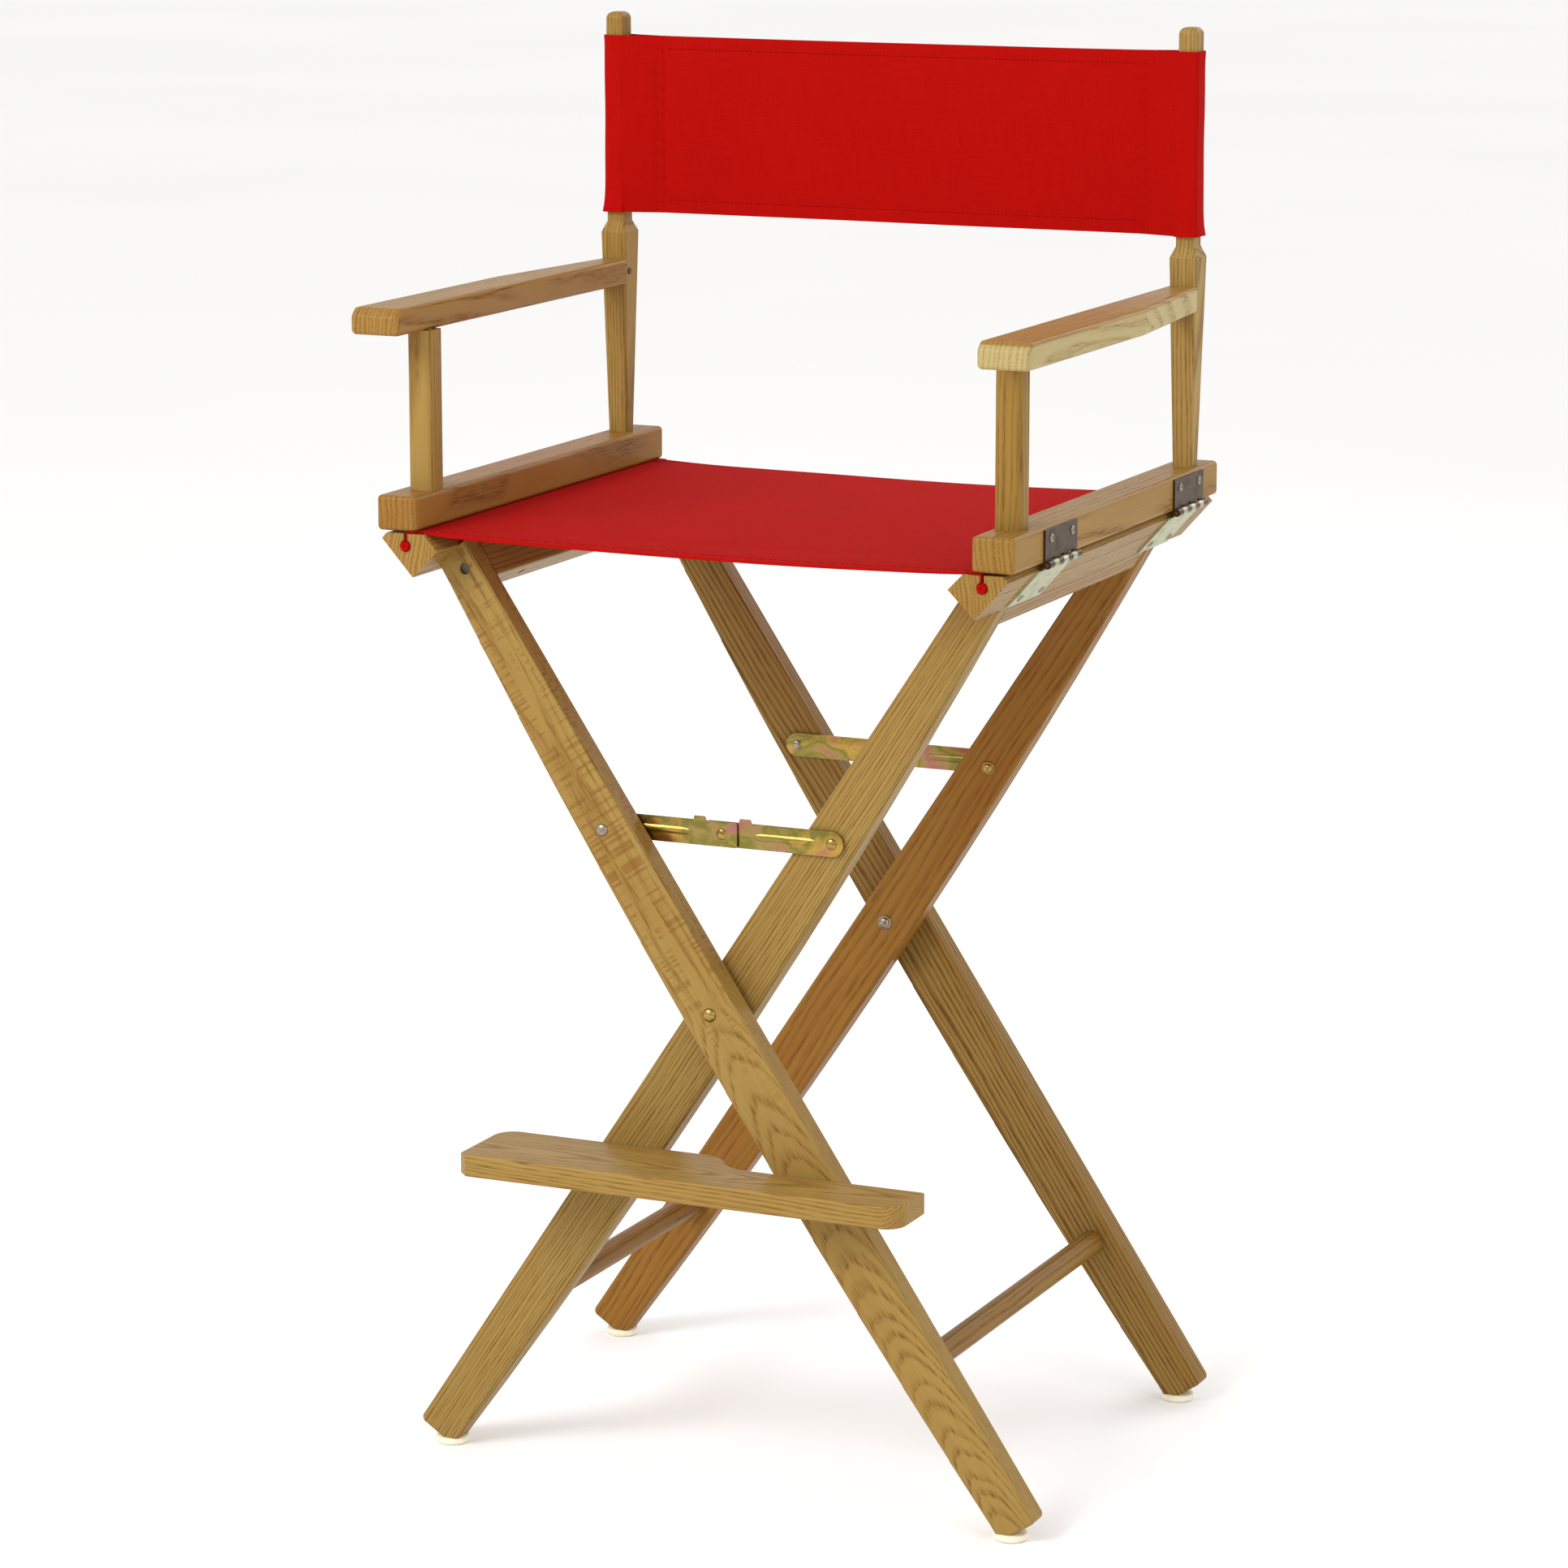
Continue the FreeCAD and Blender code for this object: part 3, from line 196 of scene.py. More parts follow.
def wood(name, grain, light, dark, heart=(0.055, 0.02), spacing=3.0, wave=4.0, seed=0.0, contrast=1.0,
         curl=0.0, blush=0.35, tilt=(0.0, 0.0, 0.0), painted_light_below=None):
    """Lacquered ash: growth rings round a heart line beside the board, coarse pores in each ring's
    early wood, long fibres, and where curl is above 0, short bars of figure across the grain.
    Below the given height the board is painted pale: painted light standing in for the light that falls on
    its side faces, not sapwood."""
    t = Tree(name)
    place = t.mapping(t.coords(), rotation=GRAIN[grain], location=(seed, seed * 0.37, seed * 0.61))
    along, side, depth = t.split(t.mapping(t.coords(), rotation=GRAIN[grain]))
    slow = t.noise(t.vector("MULTIPLY", place, (2.3, 11.0, 11.0)), detail=2.0, colour=True)
    slow = t.vector("SCALE", t.vector("SUBTRACT", slow, (0.5, 0.5, 0.5)), scale=wave * 5 * MM)
    wobble = t.noise(t.vector("MULTIPLY", place, (14.0, 90.0, 90.0)), detail=1.0, colour=True)
    wobble = t.vector("SCALE", t.vector("SUBTRACT", wobble, (0.5, 0.5, 0.5)), scale=1.3 * MM)
    shift = t.vector("ADD", slow, wobble)
    past = t.math("MAXIMUM", t.math("SUBTRACT", along, tilt[2]), 0.0)
    off = [t.math("ADD", t.math("MULTIPLY", past, slope), start) for slope, start in zip(tilt, heart)]
    flat = t.join(0.0, t.math("ADD", side, off[0]), t.math("ADD", depth, off[1]))
    moved = t.vector("MULTIPLY", t.vector("ADD", flat, shift), (0.0, 1.0, 1.0))
    radius = t.math("DIVIDE", t.vector("LENGTH", moved), spacing * MM)
    uneven = t.noise(t.join(t.math("MULTIPLY", radius, 0.45), 0.0, seed), detail=2.0)
    rings = t.math("ADD", radius, t.math("MULTIPLY", uneven, 2.2))
    phase = t.math("FRACT", rings)
    early = t.ramp(phase, (0.0, 0.75), (0.07, 1.0), (0.30, 0.55), (0.46, 0.12), (0.85, 0.0), (1.0, 0.6))
    pores = t.noise(t.vector("MULTIPLY", place, (48.0, 950.0, 950.0)), detail=2.0, rough=0.6)
    pores = t.range(pores, 0.48, 0.62, 0.0, 1.0)
    fibre = t.noise(t.vector("MULTIPLY", place, (16.0, 650.0, 650.0)), detail=3.0, rough=0.65)
    broad = t.noise(t.vector("MULTIPLY", place, (3.2, 24.0, 24.0)), detail=2.0)

    mask = t.math("MULTIPLY", early, t.math("ADD", t.math("MULTIPLY", pores, 0.80), 0.55 * contrast))
    mask = t.math("ADD", mask, t.math("MULTIPLY", t.math("SUBTRACT", fibre, 0.5), 0.75), clamp=True)
    colour = t.mix(mask, ash(light), ash(dark))
    warm = ash((light[0] * 0.88, light[1] * 0.76, light[2] * 0.62))
    colour = t.mix(t.range(broad, 0.42, 0.72, 0.0, blush), colour, warm)
    if curl:
        bars = t.noise(t.join(t.math("MULTIPLY", along, 420.0), t.math("MULTIPLY", side, 110.0), seed),
                       detail=1.0)
        bars = t.range(bars, 0.50, 0.60, 0.0, 1.0)
        patch = t.noise(t.vector("MULTIPLY", place, (12.0, 150.0, 150.0)), detail=1.0)
        bars = t.math("MULTIPLY", bars, t.range(patch, 0.44, 0.58, 0.0, curl))
        bars = t.math("MULTIPLY", bars, t.range(along, -0.36, -0.22, 1.0, 0.08))
        colour = t.mix(bars, colour, ash((dark[0] * 1.05, dark[1] * 1.0, dark[2] * 0.94)))
    # painted light: below the given height the board's sides are mixed towards a very pale tone, standing in
    # for the light falling on them, not sapwood
    if painted_light_below is not None:
        edge = t.math("ADD", depth, t.math("MULTIPLY", t.math("SUBTRACT", broad, 0.5), 1.5 * MM))
        colour = t.mix(t.range(edge, painted_light_below, painted_light_below + 1.5 * MM, 0.72, 0.0), colour,
                       t.mix(mask, ash((250, 244, 214)), ash((212, 190, 142))))
    t.set(Base_Color=colour, Roughness=t.range(mask, 0.0, 1.0, 0.36, 0.52))
    t.set(Coat_Weight=0.05, Coat_Roughness=0.2, Specular_IOR_Level=0.08)
    height = t.math("ADD", t.math("MULTIPLY", mask, -0.7), t.math("MULTIPLY", fibre, 0.5))
    t.bump(height, 0.00025, 0.45)
    return t.material


def canvas(name, base, shade, thread=0.55):
    """Plain-weave cotton canvas; u and v are metres along and across the sheet."""
    t = Tree(name)
    u, v, _ = t.split(t.coords("UV"))
    place = t.join(u, v, 0.0)
    drift = t.noise(t.vector("MULTIPLY", place, (260.0, 260.0, 1.0)), detail=2.0)
    k = math.pi / (thread * MM)
    warp = t.math("SINE", t.math("ADD", t.math("MULTIPLY", u, k), t.math("MULTIPLY", drift, 2.2)))
    weft = t.math("SINE", t.math("ADD", t.math("MULTIPLY", v, k), t.math("MULTIPLY", drift, 2.2)))
    over = t.math("MULTIPLY", warp, weft)
    height = t.math("ADD", t.math("ABSOLUTE", warp), t.math("ABSOLUTE", weft))
    height = t.math("ADD", t.math("MULTIPLY", height, 0.5), t.math("MULTIPLY", over, 0.25))
    slub_u = t.noise(t.vector("MULTIPLY", place, (30.0, 1500.0, 1.0)), detail=2.0)
    slub_v = t.noise(t.vector("MULTIPLY", place, (1500.0, 30.0, 1.0)), detail=2.0)
    slub = t.math("ADD", slub_u, slub_v)
    cloudy = t.noise(t.vector("MULTIPLY", place, (14.0, 14.0, 1.0)), detail=3.0)
    tone = t.math("ADD", t.range(over, -1.0, 1.0, 0.0, 0.30), t.range(slub, 0.8, 1.2, -0.10, 0.16))
    tone = t.math("ADD", tone, t.range(cloudy, 0.35, 0.65, -0.02, 0.08), clamp=True)
    t.set(Base_Color=t.mix(tone, srgb(*base), srgb(*shade)))
    t.set(Roughness=t.range(slub, 0.8, 1.2, 0.82, 0.95), Specular_IOR_Level=0.05)
    t.set(Sheen_Weight=0.015, Sheen_Roughness=0.5, Sheen_Tint=srgb(255, 120, 100))
    t.bump(t.math("ADD", height, t.math("MULTIPLY", slub, 0.6)), 0.00018, 0.6)
    return t.material


def plated(name, tones, rough=0.30, scale=55.0, brushed=0.0, metal=1.0, worn=None):
    """Plated steel or brass: the plating's tones drift from place to place, with fine scratches."""
    t = Tree(name)
    place = t.coords()
    drift = t.noise(t.vector("MULTIPLY", place, (scale, scale, scale * 1.6)), detail=3.0, distortion=0.6)
    stops = [(0.30 + 0.40 * i / max(1, len(tones) - 1), srgb(*c)) for i, c in enumerate(tones)]
    colour = t.ramp(drift, *stops)
    fine = t.noise(t.vector("MULTIPLY", place, (900.0, 900.0, 900.0)), detail=2.0)
    scratch = t.noise(t.vector("MULTIPLY", place, (120.0, 120.0, 2600.0)), detail=2.0)
    if worn:
        spots = t.noise(t.vector("MULTIPLY", place, (420.0, 420.0, 420.0)), detail=3.0)
        colour = t.mix(t.range(spots, 0.60, 0.72, 0.0, 0.8), colour, srgb(*worn))
    t.set(Base_Color=colour, Metallic=metal, Roughness=t.range(drift, 0.3, 0.7, rough, rough + 0.14))
    height = t.math("ADD", fine, t.math("MULTIPLY", scratch, brushed))
    t.bump(height, 0.00005, 0.35)
    return t.material


def plastic(name, base, dark):
    """Moulded plastic with a faint texture and a little scuffing."""
    t = Tree(name)
    place = t.coords()
    fine = t.noise(t.vector("MULTIPLY", place, (1200.0, 1200.0, 1200.0)), detail=2.0)
    scuff = t.noise(t.vector("MULTIPLY", place, (90.0, 90.0, 220.0)), detail=4.0, rough=0.7)
    t.set(Base_Color=t.mix(t.range(scuff, 0.52, 0.75, 0.0, 0.7), srgb(*base), srgb(*dark)))
    t.set(Roughness=t.range(scuff, 0.3, 0.7, 0.36, 0.55), Subsurface_Weight=0.15)
    t.shader.inputs["Subsurface Scale"].default_value = 0.002
    t.bump(fine, 0.00006, 0.4)
    return t.material


def paint(node, mat):
    """Give a CAD node one of the materials above."""
    o = frame["nodes"][node]
    if not o.material_slots:
        o.data.materials.append(mat)
    for s in o.material_slots:
        s.material = mat


WOODS = {
    "leg_outer_front": dict(grain="outer", light=(214, 183, 124), dark=(160, 118, 62),
                            heart=(0.2595, -0.2175), spacing=1.9, wave=2.4, seed=1.3, curl=0.6,
                            contrast=0.55, tilt=(-0.075, 0.0, -0.33)),
    "leg_outer_rear": dict(grain="outer", light=(200, 166, 108), dark=(136, 96, 50), heart=(0.06, 0.05),
                           spacing=3.6, wave=3.0, seed=7.1, contrast=1.2, blush=0.4),
    "leg_inner_front": dict(grain="inner", light=(214, 184, 126), dark=(158, 120, 68), heart=(0.02, 0.09),
                            spacing=2.6, wave=3.0, seed=3.7, contrast=1.1),
    "leg_inner_rear": dict(grain="inner", light=(200, 150, 82), dark=(152, 100, 50), heart=(0.06, 0.03),
                           spacing=5.5, wave=6.5, seed=5.9, contrast=0.6, blush=0.6),
    "seat_rail_left": dict(grain="y", light=(216, 180, 120), dark=(168, 122, 66), heart=(0.32, -0.70),
                           spacing=3.6, wave=4.0, seed=2.2),
    "seat_rail_right": dict(grain="y", light=(208, 172, 110), dark=(160, 118, 62), heart=(-0.20, -0.71),
                            spacing=3.2, wave=4.0, seed=8.4),
    "arm_rail_left": dict(grain="y", light=(204, 155, 92), dark=(152, 102, 50), heart=(0.30, -0.80),
                          spacing=5.0, wave=6.0, seed=4.6, contrast=0.7, blush=0.5),
    "arm_rail_right": dict(grain="y", light=(206, 166, 100), dark=(158, 116, 58), heart=(-0.22, -0.74),
                           spacing=4.2, wave=5.0, seed=6.3, contrast=0.8),
    "armrest_left": dict(grain="y", light=(214, 174, 112), dark=(166, 118, 62), heart=(0.31, -0.90),
                         spacing=3.4, wave=4.0, seed=9.2),
    # armrest_right: its sides below the height 0.9335 m are painted pale as painted light
    "armrest_right": dict(grain="y", light=(214, 172, 106), dark=(176, 128, 70), heart=(-0.30, -0.98),
                          spacing=4.2, wave=4.0, seed=11.5, contrast=0.7, painted_light_below=0.9335),
    "front_post_left": dict(grain="z", light=(214, 182, 122), dark=(172, 130, 72), heart=(-0.2, -0.20),
                            spacing=3.4, wave=3.5, seed=12.7),
    "front_post_right": dict(grain="z", light=(204, 166, 100), dark=(158, 116, 56), heart=(0.2, 0.28),
                             spacing=3.8, wave=7.0, seed=13.9, contrast=0.8),
    "back_post_left": dict(grain="z", light=(212, 178, 116), dark=(166, 124, 66), heart=(-0.215, 0.28),
                           spacing=3.4, wave=4.0, seed=14.3, contrast=1.0),
    "back_post_right": dict(grain="z", light=(218, 188, 132), dark=(170, 130, 76), heart=(-0.22, -0.22),
                            spacing=3.0, wave=4.0, seed=15.8, contrast=1.0),
    "stretcher_outer": dict(grain="y", light=(190, 150, 88), dark=(146, 104, 54), heart=(-0.15, -0.1),
                            spacing=2.6, wave=3.0, seed=16.4),
    "stretcher_inner": dict(grain="y", light=(184, 140, 84), dark=(138, 94, 48), heart=(0.2, -0.1),
                            spacing=2.6, wave=3.0, seed=17.2),
    "footrest_board": dict(grain="x", light=(218, 186, 126), dark=(166, 126, 70), heart=(0.205, -0.245),
                           spacing=2.0, wave=2.0, seed=18.6, contrast=0.8, tilt=(0.0, 0.03, -0.2)),
    "side_batten_left": dict(grain="y", light=(206, 170, 112), dark=(160, 120, 66), heart=(0.24, -0.66),
                             spacing=3.4, wave=3.0, seed=22.6),
    "side_batten_right": dict(grain="y", light=(206, 170, 112), dark=(160, 120, 66), heart=(-0.24, -0.66),
                              spacing=3.4, wave=3.0, seed=23.7),
    "footrest_peg": dict(grain="y", light=(205, 165, 100), dark=(160, 118, 62), heart=(0.1, -0.2),
                         spacing=3.0, wave=2.0, seed=19.4),
    "seat_rod_left": dict(grain="y", light=(214, 186, 134), dark=(176, 140, 90), heart=(0.23, -0.74),
                          spacing=2.2, wave=2.0, seed=20.5),
    "seat_rod_right": dict(grain="y", light=(214, 186, 134), dark=(176, 140, 90), heart=(-0.23, -0.74),
                           spacing=2.2, wave=2.0, seed=21.5),
}
for node, settings in WOODS.items():
    paint(node, wood("ash_" + node, **settings))

red = canvas("red_canvas_cloth", (168, 9, 5), (140, 5, 3))
thread_red = canvas("red_thread", (150, 8, 7), (104, 3, 4), thread=0.25)
gold_zinc = plated("yellow_zinc",
                   [(158, 100, 88), (172, 138, 66), (118, 112, 54), (152, 130, 74), (164, 106, 98)],
                   rough=0.24, scale=30.0, worn=(120, 92, 60))
bronze = plated("bronzed_steel", [(52, 38, 24), (78, 58, 38), (62, 44, 30)], rough=0.30, scale=60.0)
pale_zinc = plated("pale_zinc", [(150, 150, 118), (178, 176, 140), (140, 152, 124)], rough=0.34,
                   brushed=0.5, scale=50.0)
copper_pin = plated("hinge_barrel", [(112, 74, 44), (150, 104, 66), (96, 66, 42)], rough=0.32, scale=120.0)
brass = plated("brass_plate", [(140, 108, 56), (172, 142, 80), (128, 114, 62)], rough=0.22, scale=140.0)
nickel = plated("nickel_plate", [(126, 112, 92), (158, 146, 128), (110, 100, 86)], rough=0.22, scale=140.0)
steel = plated("plain_steel", [(74, 70, 62), (104, 98, 88)], rough=0.40, scale=140.0)
ivory = plastic("ivory_plastic", (232, 226, 204), (200, 192, 164))

for hand in ("left", "right"):
    paint("hinge_upper_leaves_" + hand, bronze)
    paint("hinge_lower_leaves_" + hand, pale_zinc)
    paint("hinge_pins_" + hand, copper_pin)
    paint("arm_pin_" + hand, steel)
for node in ("rail_studs_outer", "rail_studs_inner", "barrel_nuts_outer", "barrel_nuts_inner"):
    paint(node, steel)
paint("pivot_spacers", nickel)


# ------------------------------------------------------------------ mesh helpers
def new_object(name, mesh, mat, angle=35.0):
    for p in mesh.polygons:
        p.use_smooth = True
    mesh.set_sharp_from_angle(angle=math.radians(angle))
    o = bpy.data.objects.new(name, mesh)
    bpy.context.scene.collection.objects.link(o)
    mesh.materials.append(mat)
    return o


def mesh_of(name, verts, faces):
    mesh = bpy.data.meshes.new(name)
    mesh.from_pydata([tuple(v) for v in verts], [], faces)
    mesh.update()
    return mesh


def frame_of(axis):
    """A rotation that takes +Z to the axis."""
    return Vector(axis).normalized().to_track_quat("Z", "Y").to_matrix()


def lathe_parts(profile, base, axis, segments=40, spin=0.0):
    """Vertices and faces of a profile (radius, height) in metres turned about an axis."""
    turn = frame_of(axis)
    verts, faces, rows = [], [], []
    for r, z in profile:
        if r < 1e-7:
            rows.append([len(verts)])
            verts.append(Vector(base) + turn @ Vector((0, 0, z)))
            continue
        row = []
        for k in range(segments):
            a = spin + 2 * math.pi * k / segments
            row.append(len(verts))
            verts.append(Vector(base) + turn @ Vector((r * math.cos(a), r * math.sin(a), z)))
        rows.append(row)
    for low, high in zip(rows, rows[1:]):
        for k in range(segments):
            n = (k + 1) % segments
            if len(low) == 1 and len(high) > 1:
                faces.append((low[0], high[n], high[k]))
            elif len(high) == 1 and len(low) > 1:
                faces.append((low[k], low[n], high[0]))
            elif len(low) > 1:
                faces.append((low[k], low[n], high[n], high[k]))
    return verts, faces


def joined_mesh(name, parts):
    verts, faces = [], []
    for vs, fs in parts:
        start = len(verts)
        verts.extend(vs)
        faces.extend([tuple(i + start for i in f) for f in fs])
    mesh = mesh_of(name, verts, faces)
    bm = bmesh.new()
    bm.from_mesh(mesh)
    bmesh.ops.recalc_face_normals(bm, faces=bm.faces)
    bm.to_mesh(mesh)
    bm.free()
    return mesh


def dome_profile(head, height, shank, length, steps=9):
    """A domed head below the base and its shank above it."""
    points = [(0.0, -height)]
    for k in range(1, steps):
        a = math.pi / 2 * k / (steps - 1)
        points.append((head * math.sin(a), -height * math.cos(a)))
    points += [(head, 0.0), (shank, 0.0), (shank, length), (0.0, length)]
    return points


def recessed_head(base, axis, head, height, arm, spin=0.4, rings=14, segments=48):
    """A low domed screw head with a crosshead recess."""
    turn = frame_of(axis)
    verts, faces, rows = [], [], []
    for i in range(rings + 1):
        r = head * i / rings
        row = []
        count = 1 if i == 0 else segments
        for k in range(count):
            a = spin + 2 * math.pi * k / segments
            px, py = r * math.cos(a), r * math.sin(a)
            lift = height * math.sqrt(max(0.0, 1 - (r / head) ** 2 * 0.96))
            qx, qy = px * math.cos(-spin) - py * math.sin(-spin), px * math.sin(-spin) + py * math.cos(-spin)
            wide = arm * 0.24
            near = min(max(abs(qx) / arm, abs(qy) / wide), max(abs(qy) / arm, abs(qx) / wide))
            sink = max(0.0, min(1.0, (1.0 - near) * 2.5))
            row.append(len(verts))
            verts.append(Vector(base) + turn @ Vector((px, py, lift - sink * head * 0.42)))
        rows.append(row)
    for i in range(rings):
        low, high = rows[i], rows[i + 1]
        for k in range(segments):
            n = (k + 1) % segments
            if len(low) == 1:
                faces.append((low[0], high[k], high[n]))
            else:
                faces.append((low[k], high[k], high[n], low[n]))
    rim = []
    for k in range(segments):
        a = spin + 2 * math.pi * k / segments
        rim.append(len(verts))
        verts.append(Vector(base) + turn @ Vector((head * math.cos(a), head * math.sin(a), -height * 0.02)))
    top = rows[-1]
    for k in range(segments):
        n = (k + 1) % segments
        faces.append((top[k], rim[k], rim[n], top[n]))
    faces.append(tuple(reversed(rim)))
    return verts, faces


# ------------------------------------------------------------------ fixings
LEG = {n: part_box(n) for n in ("leg_outer_front", "leg_inner_front", "leg_inner_rear", "leg_outer_rear")}
A0, A1 = LEG["leg_outer_front"][0][1], LEG["leg_outer_front"][1][1]
B0, B1 = LEG["leg_inner_front"][0][1], LEG["leg_inner_front"][1][1]
D0, D1 = LEG["leg_inner_rear"][0][1], LEG["leg_inner_rear"][1][1]
C0, C1 = LEG["leg_outer_rear"][0][1], LEG["leg_outer_rear"][1][1]
pivot = Vector(joints["fold"]["pos_m"])
brace_left = Vector(joints["brace_front_left_turn"]["pos_m"])
brace_right = Vector(joints["brace_front_right_turn"]["pos_m"])


def fixing(name, parts, mat, body, nodes):
    o = new_object(name, joined_mesh(name, parts), mat)
    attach(o, body)
    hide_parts(*nodes)
    return o


def at(point, y):
    return (point[0], y, point[2])


nut_profile = [(3.05 * MM, 0.1 * MM), (6.3 * MM, 0.1 * MM), (6.5 * MM, 0.4 * MM), (6.5 * MM, 3.4 * MM),
               (5.6 * MM, 4.6 * MM), (4.0 * MM, 5.2 * MM), (3.05 * MM, 5.2 * MM), (3.05 * MM, 0.1 * MM)]
fixing("pivot_dome_front", [lathe_parts(dome_profile(5.5 * MM, 3.0 * MM, 3 * MM, 56 * MM), at(pivot, A0), Y)],
       brass, "outer_frame", ["pivot_bolt_front"])
fixing("pivot_locknut_front", [lathe_parts(nut_profile, at(pivot, B1), Y, 6)], nickel, "inner_frame",
       ["pivot_nut_front"])
ring = [(3.05 * MM, 0), (5.7 * MM, 0), (6.0 * MM, 0.4 * MM), (5.8 * MM, 1.2 * MM), (3.05 * MM, 1.2 * MM),
        (3.05 * MM, 0)]
fixing("pivot_dome_rear",
       [lathe_parts(dome_profile(4.4 * MM, 2.2 * MM, 3 * MM, 57.5 * MM), at(pivot, D0 - 1.5 * MM), Y),
        lathe_parts(ring, at(pivot, D0 - 1.3 * MM), Y)],
       nickel, "inner_frame", ["pivot_bolt_rear"])
fixing("pivot_locknut_rear", [lathe_parts(nut_profile, at(pivot, C1), Y, 6)], nickel, "outer_frame",
       ["pivot_nut_rear"])
rest_pin = joints["footrest_lift"]["pos_m"]
fixing("footrest_dome", [lathe_parts(dome_profile(7 * MM, 2.6 * MM, 4 * MM, 49 * MM),
                                     at(rest_pin, A1 + 0.1 * MM), -Y)],
       brass, "outer_frame", ["footrest_bolt"])

rear_left, rear_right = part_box("brace_rear_left"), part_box("brace_rear_right")
far = rear_left[0][1]
fixing("brace_domes_outer",
       [lathe_parts(dome_profile(5.0 * MM, 2.4 * MM, 2.5 * MM, 25.1 * MM), at(brace_left, A0), Y),
        lathe_parts(dome_profile(4.0 * MM, 1.4 * MM, 2.5 * MM, 16 * MM), at(brace_left, far - 0.1 * MM), Y)],
       nickel, "outer_frame", ["brace_screws_outer"])
near_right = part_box("brace_front_right")[0][1]
fixing("brace_domes_inner",
       [lathe_parts(dome_profile(4.5 * MM, 2.0 * MM, 2.5 * MM, 16 * MM),
                    at(brace_right, near_right - 0.1 * MM), Y),
        lathe_parts(dome_profile(4.0 * MM, 1.8 * MM, 2.5 * MM, 28.3 * MM),
                    at(brace_right, D0 - 1.4 * MM), Y),
        lathe_parts([(2.55 * MM, 0), (5.5 * MM, 0), (5.8 * MM, 0.4 * MM), (5.6 * MM, 1.15 * MM),
                     (2.55 * MM, 1.15 * MM), (2.55 * MM, 0)], at(brace_right, D0 - 1.25 * MM), Y)],
       brass, "inner_frame", ["brace_screws_inner"])


# ------------------------------------------------------------------ brace links
def strap_link(name, node, side, y0, y1, bead_out, body):
    """A pressed strap: round at the leg, square at the middle, with rolled edges, a long raised
    bead and a small stop lug on its top edge."""
    zc = brace_left[2]
    half, end, reach = 10 * MM, 13 * MM, abs(brace_left[0])
    rim = []
    steps = 14
    for k in range(steps + 1):
        a = math.pi / 2 - math.pi * k / steps
        rim.append((reach + half * math.cos(a), half * math.sin(a)))
    corner = 1.2 * MM
    rim += [(-end + corner, -half), (-end, -half + corner), (-end, half - corner), (-end + corner, half),
            (13.5 * MM, half), (14.5 * MM, half + 3 * MM), (23.5 * MM, half + 3 * MM), (24.5 * MM, half)]
    bm = bmesh.new()
    bottom = [bm.verts.new((side * x, y0, zc + z)) for x, z in rim]
    face = bm.faces.new(bottom)
    bmesh.ops.recalc_face_normals(bm, faces=[face])
    out = bmesh.ops.extrude_face_region(bm, geom=[face])
    for v in [g for g in out["geom"] if isinstance(g, bmesh.types.BMVert)]:
        v.co.y = y1
    bmesh.ops.recalc_face_normals(bm, faces=bm.faces)
    edges = [e for e in bm.edges if abs(e.verts[0].co.y - e.verts[1].co.y) < 1e-9]
    bmesh.ops.bevel(bm, geom=edges, offset=0.35 * MM, segments=2, affect="EDGES", profile=0.6)
    mesh = bpy.data.meshes.new(name)
    bm.to_mesh(mesh)
    bm.free()
    base = [[Vector(v.co) for v in mesh.vertices], [tuple(p.vertices) for p in mesh.polygons]]
    # the bead: a long low ridge with round ends
    bead_verts, bead_faces = [], []
    face_y = y0 if bead_out < 0 else y1
    n_long, n_wide = 40, 10
    for i in range(n_long + 1):
        s = i / n_long
        x = (26 + 54 * s) * MM
        cap = math.sqrt(max(0.0, 1 - (abs(2 * s - 1) ** 8)))
        for j in range(n_wide + 1):
            w = 2 * j / n_wide - 1
            z = w * 3.0 * MM * max(0.12, cap)
            lift = 0.9 * MM * math.cos(w * math.pi / 2) ** 0.8 * cap if abs(w) < 1 else 0.0
            bead_verts.append(Vector((side * x, face_y + bead_out * (lift - 0.05 * MM), zc + z)))
    for i in range(n_long):
        for j in range(n_wide):
            a = i * (n_wide + 1) + j
            bead_faces.append((a, a + 1, a + n_wide + 2, a + n_wide + 1))
    o = new_object(name, joined_mesh(name, [base, (bead_verts, bead_faces)]), gold_zinc, 30)
    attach(o, body)
    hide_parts(node)


LINK = 1.5 * MM
front_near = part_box("brace_rivet_front")[0][1] + 1.2 * MM
strap_link("strap_front_left", "brace_front_left", -1, front_near, front_near + LINK, -1, "link_front_left")
strap_link("strap_front_right", "brace_front_right", 1, near_right, near_right + LINK, -1,
           "link_front_right")
strap_link("strap_rear_left", "brace_rear_left", -1, far, far + LINK, 1, "link_rear_left")
strap_link("strap_rear_right", "brace_rear_right", 1, rear_right[1][1] - LINK, rear_right[1][1], -1,
           "link_rear_right")
middle = (0.0, 0.0, brace_left[2])
fixing("rivet_dome_front", [lathe_parts(dome_profile(4.5 * MM, 1.6 * MM, 2.5 * MM, LINK),
                                        at(middle, front_near), Y)],
       brass, "link_front_left", ["brace_rivet_front"])
fixing("rivet_dome_rear", [lathe_parts(dome_profile(4.5 * MM, 1.6 * MM, 2.5 * MM, LINK),
                                       at(middle, far + LINK), -Y)],
       brass, "link_rear_left", ["brace_rivet_rear"])

